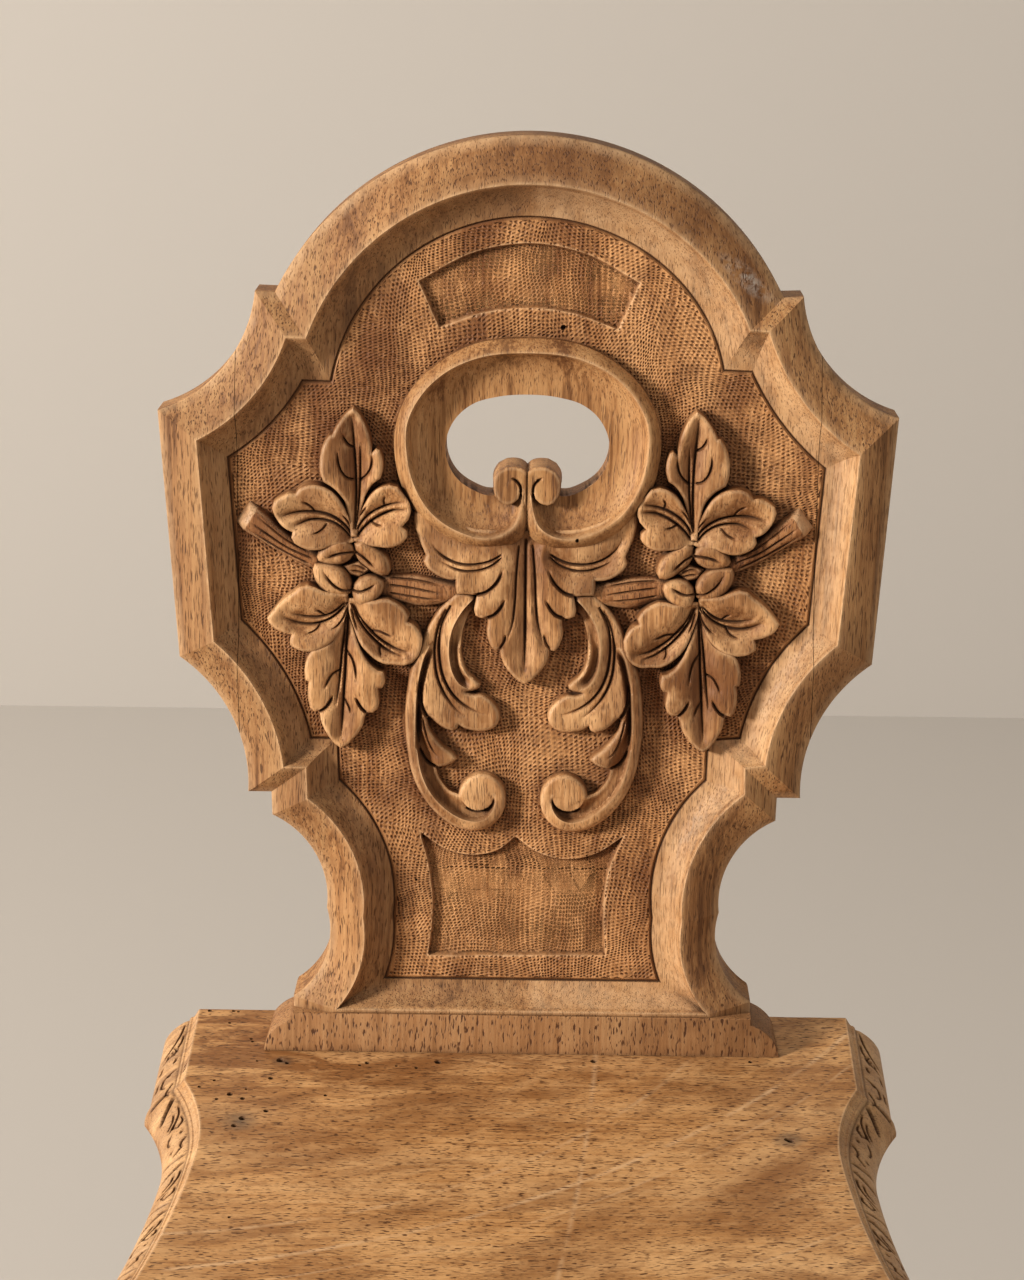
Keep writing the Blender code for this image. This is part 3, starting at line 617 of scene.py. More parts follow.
# Each stretch of the outline from the middle of the arch down: its end, the place that its arc passes,
# and the shares of the ridge's and the groove's inset
stretches = [
    ("archEnd", None, (1.04, 1.13)),
    ("shoulderTip", None, (0.95, 1.24)),
    ("earTop", "upperScoop", (0.91, 1.02)),
    ("earFoot", None, (0.86, 0.92)),
    ("hipTip", "lowerScoop", (0.87, 0.97)),
    ("hipCorner", None, (0.70, 0.79)),
    ("waistTop", None, (0.86, 0.98)),
    ("waist", "waistUpper", (0.87, 0.97)),
    ("waistFoot", "waistLower", (0.87, 0.97)),
]
cornerSteps = [
    frameShape["arcParts"] if through or name == "archEnd" else frameShape["straightParts"]
    for name, through, shares in stretches
]
# The right side was cut a little differently: how far its corners of ridge and groove lie from the left's
rightPush = [
    ((-0.6, 6.3), (-1.2, 7.8)), ((-1.2, 5.4), (-1.2, 6.8)), ((0.6, -3.5), (-1.2, -2.4)),
    ((0.0, 2.0), (-1.0, 1.0)), ((0.0, 3.9), (0.7, 2.7)), ((1.4, 2.4), (-1.9, 1.5)),
    ((2.3, 5.3), (-1.9, 2.0)), ((0.0, 0.0), (0.0, 0.0)),
]


def pushed(points, pushes):
    # Each corner moves by its own push, and the places between two corners by a share of both
    start, last, result = 0, Vector((0.0, 0.0)), list(points)
    for steps, push in zip(cornerSteps, pushes):
        push = Vector(push)
        for i in range(1, steps + 1):
            share = (i / steps) ** (2 if start == 0 else 1)
            result[start + i] = points[start + i] + last.lerp(push, share)
        start, last = start + steps, push
    return result


def frameLoop(level, extra=0.0):
    # 0 is the outline, 1 the ridge, 2 the groove; extra moves the groove's line on into the ground
    def insetOf(shares):
        if level == 0:
            return 0.0
        if level == 1:
            return frameShape["ridgeInset"] * shares[0]
        return frameShape["grooveInset"] * shares[1] + extra

    top = Vector((0.0, board["length"] / mm))
    archEnd = onBack("archEnd")
    archStart = Vector((-archEnd.x, archEnd.y))
    centre, radius = circleThrough(archStart, top, archEnd)[:2]
    archMiddle = centre + (archEnd - centre + top - centre).normalized() * radius
    corners, moved = [top], []
    for name, through, shares in stretches:
        start = corners[-1]
        middle = onBack(through) if through else None
        if name == "archEnd":
            start, middle = archStart, archMiddle
        corners.append(onBack(name))
        moved.append(movedIn(start, middle, onBack(name), insetOf(shares)))
    floor = insetOf((0.98, 1.00))
    floorLine = (Vector((0.0, floor)), Vector((-200.0, floor)))
    points = [top - Vector((0.0, insetOf(stretches[0][2])))]

    def onTo(end, parts):
        start = points[-1]
        return [start.lerp(end, i / parts) for i in range(1, parts + 1)]

    for number, stretch in enumerate(moved):
        corner = corners[number + 1]
        if number + 1 < len(moved):
            end = meeting(stretch, moved[number + 1], corner)
        else:
            end = corner if level == 0 else meeting(floorLine, stretch, corner)
        if isinstance(stretch[1], float):
            points += arcAbout(stretch[0], points[-1], end, frameShape["arcParts"])
        else:
            points += onTo(end, frameShape["straightParts"])
    last = points[-1]
    points += onTo(Vector((last.x, 0.0 if level == 0 else last.y)), frameShape["sideParts"])
    points += onTo(Vector((0.0, points[-1].y)), frameShape["floorParts"])
    mirrored = [(-p.x, p.y) for p in reversed(points[1:-1])]
    if level > 0:
        points = pushed(points, [shares[level - 1] for shares in rightPush])
    return np.array([tuple(p) for p in points] + mirrored)


frameProfile = [
    # share of the way from outline (0) over ridge (1) to groove (2), and depth in mm
    (0.00, 0.8), (0.00, 25.6), (0.006, 26.4), (0.035, 27.2), (0.25, 29.6), (0.50, 32.0), (0.75, 34.3),
    (0.93, 35.7), (1.00, 36.05), (1.025, 35.7), (1.07, 34.3), (1.13, 32.9), (1.21, 31.3), (1.31, 29.5),
    (1.42, 27.9), (1.54, 26.5), (1.67, 25.4), (1.80, 24.7), (1.94, 24.3), (1.97, 23.7), (2.00, 21.6),
]
outline, ridgeLoop, grooveLoop = frameLoop(0), frameLoop(1), frameLoop(2)
groundLoop = frameLoop(2, frameShape["lip"])


def between(share):
    # The loop that lies a share of the way from outline (0) over ridge (1) to groove (2)
    if share <= 1.0:
        return outline * (1.0 - share) + ridgeLoop * share
    return ridgeLoop * (2.0 - share) + grooveLoop * (share - 1.0)


# The moulding was cut by hand, so its faces waver a little: wave lengths, noise seeds and heights in mm,
# and the depths between which they do
handCut = {
    "waves": ((34.0, 3.1, 0.45), (11.0, 8.4, 0.16)),
    "from": 24.0,
    "rise": 6.0,
    "to": 36.2,
    "fall": 1.5,
}


def tooled(u, v, depth):
    waver = sum(noise.noise((u / long, v / long, seed)) * high for long, seed, high in handCut["waves"])
    low = min(1.0, max(0.0, depth - handCut["from"]) / handCut["rise"])
    high = min(1.0, (handCut["to"] - depth) / handCut["fall"])
    return boardSpot(u, v, depth + waver * low * high)


def cutAway(bm, place, outward):
    # What lies outward of the plane goes, and the cut is closed
    geom = bm.verts[:] + bm.edges[:] + bm.faces[:]
    bmesh.ops.bisect_plane(bm, geom=geom, plane_co=place, plane_no=outward, clear_outer=True)
    bmesh.ops.holes_fill(bm, edges=[edge for edge in bm.edges if edge.is_boundary], sides=0)


def quads(bm, low, high):
    # A band of faces between two loops
    return [
        bm.faces.new((low[i], low[(i + 1) % len(low)], high[(i + 1) % len(low)], high[i]))
        for i in range(len(low))
    ]


# The ring round the hand hole

ringShape = {
    "outerHalf": [
        (0.0, 278.0), (2.6, 274.4), (6.5, 271.6), (13.0, 269.6), (22.0, 268.7), (32.0, 270.3),
        (47.5, 279.0), (59.0, 291.5), (66.0, 310.0), (67.0, 328.0), (60.5, 347.0), (45.5, 363.0),
        (27.0, 373.0), (0.0, 376.3),
    ],
    "ridgeHalf": [
        (0.0, 301.5), (1.9, 296.5), (3.1, 289.5), (6.2, 281.5), (12.0, 277.0), (21.0, 275.0),
        (33.5, 278.0), (47.0, 286.6), (56.6, 301.0), (60.6, 317.0), (60.4, 333.5), (53.5, 347.6),
        (41.0, 359.6), (26.6, 366.4), (0.0, 369.6),
    ],
    "holeHalf": [
        (0.0, 303.6), (7.0, 300.5), (12.5, 296.8), (18.0, 295.0), (28.0, 298.0), (36.0, 304.0),
        (41.0, 314.0), (41.5, 321.0), (36.0, 335.0), (27.5, 342.0), (16.0, 345.5), (0.0, 346.9),
    ],
    "step": 1.1,
    "bend": 60.0,
    # The rim's foot and top, and the dish's end at the hole, above the ground
    "rimFoot": 4.4,
    "rimTop": 9.6,
    "dishEnd": -1.8,
    # The rim dips under the curled ends (half width, top, start, reach, amount)
    "dip": (9.0, 306.0, 280.0, 13.0, 3.6),
    # and a valley parts its two sides (half width, top, depth)
    "valley": (1.5, 303.0, 2.2),
    "waver": (0.18, 9.0),
    "ends": [
        (0.0, 288.0), (2.4, 288.2), (2.3, 293.4), (2.5, 297.6), (3.1, 299.4), (3.6, 297.6), (4.4, 294.8),
        (6.8, 292.6), (10.2, 291.5), (13.6, 292.7), (16.2, 296.2), (17.1, 300.8), (16.6, 305.2),
        (14.4, 308.8), (10.4, 311.0), (6.2, 311.2), (2.8, 310.4), (0.0, 308.2),
    ],
    "endCuts": [
        (0.65, 1.2, [(0.0, 309.5), (0.0, 301.0), (0.0, 293.0), (0.0, 287.0)]),
        (0.95, 2.6, [(3.0, 298.4), (3.3, 301.0), (4.7, 303.3), (6.6, 304.8), (8.2, 305.3)]),
    ],
}


def bothSides(half):
    # A closed line from its right half, given from the bottom up
    return half + [(-u, v) for u, v in reversed(half) if u > 0.0]


ringOuter, ringRidge, ringHole = (
    smoothLine(bothSides(ringShape[half]), ringShape["step"], True, ringShape["bend"])
    for half in ("outerHalf", "ridgeHalf", "holeHalf")
)


def ringHeight(places):
    # The rounded rim and the dish that falls from it toward the hole
    outer, ridge, hole = (nearest(places, line, True)[0] for line in (ringOuter, ringRidge, ringHole))
    dished = inside(places, ringRidge) & (ridge > 0.02)
    u, v = np.abs(places[:, 0]), places[:, 1]
    half, high, start, reach, amount = ringShape["dip"]
    dip = amount * np.clip((v - start) / reach, 0.0, 1.0)
    top = ringShape["rimTop"] - np.where((u < half) & (v < high), dip, 0.0)
    share = outer / (outer + ridge + 1e-6)
    rim = ringShape["rimFoot"] + (top - ringShape["rimFoot"]) * np.sin(share * math.pi / 2)
    half, high, amount = ringShape["valley"]
    rim -= amount * np.clip(1.0 - u / half, 0.0, 1.0) * (v < high)
    out = np.clip(1.0 - ridge / (ridge + hole + 1e-6), 0.0, 1.0)
    cove = 1.0 - np.sqrt(np.clip(1.0 - out * out, 0.0, 1.0))
    dish = ringShape["dishEnd"] + (top - 0.4 - ringShape["dishEnd"]) * cove
    amount, size = ringShape["waver"]
    return np.where(dished, dish, rim) + amount * rough(places, size, 4.0)


def cornerPlaces(count):
    # Numbers of the loop's corners, on both sides
    places, at = [], 0
    for steps in cornerSteps:
        at += steps
        places += [at, count - at]
    return places


def loopVerts(bm, places, depth):
    return [bm.verts.new(boardSpot(u, v, depth)) for u, v in places]


def coarse(loop):
    # Seeds for a flat part that is never seen
    return hexSeeds(loop, 14.0)


def flatPart(bm, loop, hole, depth):
    spots, faces = triangles(loop, coarse(loop), holes=[hole], clear=3.0)[:2]
    verts = loopVerts(bm, spots, depth)
    for face in faces:
        bm.faces.new([verts[i] for i in face])


def heightVerts(bm, places, heights):
    return [bm.verts.new(boardSpot(u, v, h)) for (u, v), h in zip(places, heights)]


def wallBetween(bm, loop, low, high, dark=(0.0, 0.0)):
    # A wall from one depth up to the given heights, painted as dark at its foot and top as told: painted
    # shade
    lows, highs = loopVerts(bm, loop, low), heightVerts(bm, loop, high)
    for verts, value in ((lows, dark[0]), (highs, dark[1])):
        for vert in verts:
            vert[bm.verts.layers.float["dirtAndShadeMask"]] = value
    quads(bm, lows, highs)


def shadedMesh():
    # An empty mesh with the layers that the woods read
    bm = bmesh.new()
    return bm, bm.verts.layers.float.new("wearAndSheen"), bm.verts.layers.float.new("dirtAndShadeMask")


def joined(bm):
    bmesh.ops.remove_doubles(bm, verts=bm.verts[:], dist=0.00004)
    bmesh.ops.recalc_face_normals(bm, faces=bm.faces[:])
    return bm


bedDepth = 20.5
groundBase = board["groundDepth"] / mm


def mouldingShade(share, depth, x):
    # How worn and how dark a place of the moulding is painted: crisp ridge worn; the right coves paler,
    # partly wear and partly a painted highlight on faces that turn to the lamp; the left cove and slope
    # darker, painted shade; the groove line at the foot dark, dirt and painted shade
    wearAndSheen = max(0.0, 1.0 - abs(share - 1.0) / 0.10)
    if share < 0.04 and depth > 26.0:
        wearAndSheen += 0.8
    if 1.1 < share < 1.95:
        wearAndSheen += 0.7 if x > 0.0 else 0.2
    if share > 1.96:
        return wearAndSheen, 1.0
    shaded = (share > 1.1 and x < 0.0) or (0.02 < share < 0.94 and x < -0.1)
    return wearAndSheen, 0.24 if shaded else 0.0


def makeFrame():
    # The board with its moulding, down to a flat bed under the ground
    bm, wearAndSheen, dirtAndShadeMask = shadedMesh()
    rear = outline * 0.994 + np.array((0.0, 1.4))
    bed = [tuple(p) for p in between(2.0)]
    rows = [loopVerts(bm, rear, 0.0)]
    for share, depth in frameProfile:
        row = [bm.verts.new(tooled(u, v, depth)) for u, v in between(share)]
        for vert in row:
            vert[wearAndSheen], vert[dirtAndShadeMask] = mouldingShade(share, depth, vert.co.x)
        rows.append(row)
    rows.append(loopVerts(bm, bed, bedDepth))
    for low, high in zip(rows, rows[1:]):
        quads(bm, low, high)
        for i in cornerPlaces(len(low)):
            bm.edges.get((low[i % len(low)], high[i % len(low)])).smooth = False
    flatPart(bm, [tuple(p) for p in rear], ringHole, 0.0)
    flatPart(bm, bed, ringHole, bedDepth)
    # The hand hole's wall is painted dark toward the ground: painted shade
    wallBetween(bm, ringHole, 0.0, [bedDepth] * len(ringHole), (0.0, 1.0))
    return joined(bm)


def makeRing():
    bm, wearAndSheen, dirtAndShadeMask = shadedMesh()
    seeds = np.concatenate([holeSeeds(boardHoles), hexSeeds(ringOuter, ringShape["step"])])
    spots, faces = triangles(
        ringOuter, seeds, holes=[ringHole], lines=[ringRidge + ringRidge[:1]], clear=ringShape["step"] * 0.55
    )[:2]
    height, dark = bored(spots, boardHoles, ringHeight(spots), np.zeros(len(spots)))
    top = heightVerts(bm, spots, groundBase + height)
    for vert, gap, hole in zip(top, nearest(spots, ringRidge, True)[0], dark):
        vert[wearAndSheen], vert[dirtAndShadeMask] = max(0.0, 1.0 - gap / 1.3), hole
    for face in faces:
        bm.faces.new([top[i] for i in face])
    # The ring's walls are painted dark at their foot: painted shade
    for loop in (ringOuter, ringHole):
        wallBetween(bm, loop, bedDepth, groundBase + ringHeight(np.array(loop)), (1.0, 0.0))
    flatPart(bm, ringOuter, ringHole, bedDepth)
    return joined(bm)


def makeGround():
    # A lattice of punched pits between the frame and the ring
    bm, wearAndSheen, dirtAndShadeMask = shadedMesh()
    loop = [tuple(p) for p in groundLoop]
    bed = [tuple(p) for p in frameLoop(2, -1.0)]
    seeds, struck = groundSeeds()
    spots, faces, origin = triangles(
        loop, np.concatenate([seeds, holeSeeds(boardHoles)]), holes=[ringOuter],
        lines=[line + line[:1] for line in panelLines], clear=0.40
    )
    # Struck pits are painted dark: dirt and painted shade
    known = (origin >= 0) & (origin < len(struck))
    dark = np.where(known, struck[np.clip(origin, 0, len(struck) - 1)], 0.0)
    heights = groundHeight(spots) - dark * panels["pitDepth"]
    # A pale line is painted along the outside of the panels' edges, a painted highlight, and the foot of
    # their walls is painted dark, painted shade
    lipHighlight = np.zeros(len(spots))
    for line in panelLines:
        gap, within = nearest(spots, line, True)[0], inside(spots, line)
        lip = np.clip(panels["lip"] - gap / 0.7, 0.0, 1.0)
        lipHighlight = np.maximum(lipHighlight, np.where(within & (gap > 0.02), 0.0, lip))
        foot = np.clip(1.0 - np.abs(gap - panels["wall"]) / 0.8, 0.0, 1.0)
        dark = np.maximum(dark * (1.0 - lipHighlight), np.where(within, panels["footShade"] * foot, 0.0))
    heights, dark = bored(spots, boardHoles, heights, dark)
    floor = heightVerts(bm, spots, groundBase + heights)
    for vert, value, lipSheen in zip(floor, dark, lipHighlight):
        vert[dirtAndShadeMask], vert[wearAndSheen] = float(value), float(lipSheen)
    for face in faces:
        bm.faces.new([floor[i] for i in face])
    low, lip = loopVerts(bm, bed, bedDepth), loopVerts(bm, bed, groundBase - 1.6)
    # The wall down from the groove line is painted dark: dirt and painted shade in the incised line
    for vert in low + lip:
        vert[dirtAndShadeMask] = 1.0
    quads(bm, low, lip)
    quads(bm, lip, heightVerts(bm, loop, groundBase + groundHeight(np.array(loop))))
    wallBetween(bm, ringOuter, bedDepth, groundBase + groundHeight(np.array(ringOuter)))
    flatPart(bm, bed, ringOuter, bedDepth)
    return joined(bm)


# The two sunk panels, the lattice of the punch, and the worm holes (across, up, radius)
panels = {
    "arc": [
        (-55.4, 404.0), (-28.5, 418.3), (0.0, 423.4), (28.5, 418.3), (55.4, 404.0),
        (45.0, 380.4), (23.0, 388.2), (0.0, 390.9), (-23.0, 388.2), (-45.0, 380.4),
    ],
    "low": [
        (-4.3, 115.1), (7.0, 106.8), (21.0, 103.0), (36.5, 105.8), (52.2, 116.0), (45.6, 99.5),
        (42.6, 81.0), (42.6, 66.0), (43.6, 50.4), (13.0, 50.0), (-18.0, 49.4), (-49.8, 49.0),
        (-47.8, 66.0), (-47.4, 80.3), (-49.6, 99.0), (-54.2, 117.2), (-40.0, 107.6), (-25.5, 104.8),
        (-13.8, 107.4),
    ],
    "sink": 3.3,
    "wall": 1.1,
    "pitch": (1.10, 0.86),
    "pitDepth": 0.95,
    # lip sets the pale line painted along the panels' edges, a painted highlight; footShade how dark the foot
    # of their walls is painted, painted shade
    "lip": 1.3,
    "footShade": 0.75,
}
boardHoles = [(17.3, 381.4, 1.3), (-55.8, 90.7, 0.7), (25.6, 274.3, 0.9)]
panelLines = [smoothLine(panels[key], 1.0, True, 50.0) for key in ("arc", "low")]


def groundSeeds():
    # A wavering lattice; every second place of every second row is struck with the punch
    across, up = panels["pitch"]
    margin = 12.0
    low, high = groundLoop.min(0) - margin, groundLoop.max(0)
    columns, rows = int((high[0] + margin - low[0]) / across), int((high[1] + margin - low[1]) / up)
    i, j = (side.ravel() for side in np.meshgrid(np.arange(columns), np.arange(rows)))
    places = np.stack([low[0] + i * across, low[1] + j * up], 1)
    draw = np.random.default_rng(7)
    struck = (i % 2 == 0) & (j % 2 == 0)
    depth = np.where(struck, draw.uniform(0.60, 1.0, len(i)), 0.0)
    wave = np.stack([
        rough(places, wide, first) * 11.0 + rough(places, narrow, second) * 2.2
        for wide, first, narrow, second in ((52.0, 2.0, 17.0, 5.0), (48.0, 11.0, 16.0, 15.0))
    ], 1)
    places = places + wave + draw.normal(0.0, 0.085, places.shape)
    # Under the carving the ground is never seen, so only a few places are kept there
    hidden = np.zeros(len(places), bool)
    for loop in carvedLoops:
        a = np.array(loop)
        rows = np.flatnonzero((places > a.min(0)).all(1) & (places < a.max(0)).all(1))
        hidden[rows] |= inside(places[rows], loop)
    keep = ~hidden | ((i % 4 == 1) & (j % 4 == 1))
    return places[keep], depth[keep]


def groundHeight(places):
    # The ground is a little uneven, sunk in the panels, and level at the frame
    height = 0.34 * rough(places, 20.0, 6.0) + 0.14 * rough(places, 4.5, 9.0)
    for line in panelLines:
        gap = nearest(places, line, True)[0]
        sunk = inside(places, line) & (gap > 0.02)
        height -= np.where(sunk, panels["sink"] * np.clip(gap / panels["wall"], 0.0, 1.0), 0.0)
        height -= np.where(sunk, 0.0, 0.35 * np.clip(1.0 - gap / 0.9, 0.0, 1.0))
    edge = nearest(places, [tuple(p) for p in groundLoop], True)[0]
    return height * np.clip(edge / 2.0, 0.0, 1.0)

# The carved forms. Places are in mm on the board's right half; a cut is its width, its depth, and its line
# from the deep end. A form rises above the ground, puffs up between its cuts, is hollowed (vee) toward its
# ribs and falls toward its edge over the round

twig = {"puff": 0.3, "vee": 0.0, "round": 5.0}
leaf = {"puff": 0.5, "vee": 4.6, "fall": 0.5, "round": 3.0}
smallLeaf = {"puff": 0.5, "vee": 1.4, "fall": 2.6, "round": 4.6, "ribs": 1}
twigForms = [
    # Twig to the outside
    {
        **twig,
        "edge": [(139.8, 294.3), (146.7, 283.8), (144.3, 281.0), (136.0, 275.6), (125.0, 268.8),
            (115.0, 263.2), (104.0, 259.0), (101.0, 266.0), (112.0, 272.6), (121.0, 279.0), (131.0, 287.6)],
        "cuts": [
            (0.75, 1.3, [(108.0, 265.8), (120.0, 271.2), (130.0, 277.8), (140.2, 285.2)]),
            (0.75, 1.3, [(110.0, 263.2), (122.0, 269.2), (132.0, 275.2), (141.2, 281.2)]),
            (0.65, 0.9, [(110.0, 269.4), (121.0, 275.4), (131.0, 283.4), (137.0, 288.8)]),
        ],
        "rise": 5.4, "fall": 2.6, "shift": (1.0, -1.4),
        "facet": (5.2, 0.55, [(138.8, 295.4), (146.7, 283.0)]),
    },
    # Twig to the inside
    {
        **twig,
        "edge": [(76.0, 255.0), (64.0, 256.0), (54.0, 255.4), (44.0, 253.4), (33.0, 251.4), (31.0, 247.0),
            (33.0, 243.4), (44.0, 240.8), (53.0, 239.8), (64.0, 241.6), (76.0, 245.0)],
        "cuts": [
            (0.75, 1.2, [(69.0, 254.2), (58.0, 253.6), (47.0, 251.6), (41.0, 250.2)]),
            (0.75, 1.2, [(69.0, 250.8), (58.0, 249.4), (47.0, 247.4), (41.0, 246.4)]),
            (0.75, 1.2, [(69.0, 246.6), (58.0, 245.0), (48.0, 243.8), (42.0, 243.6)]),
        ],
        "rise": 5.0, "fall": 2.4,
    },
]
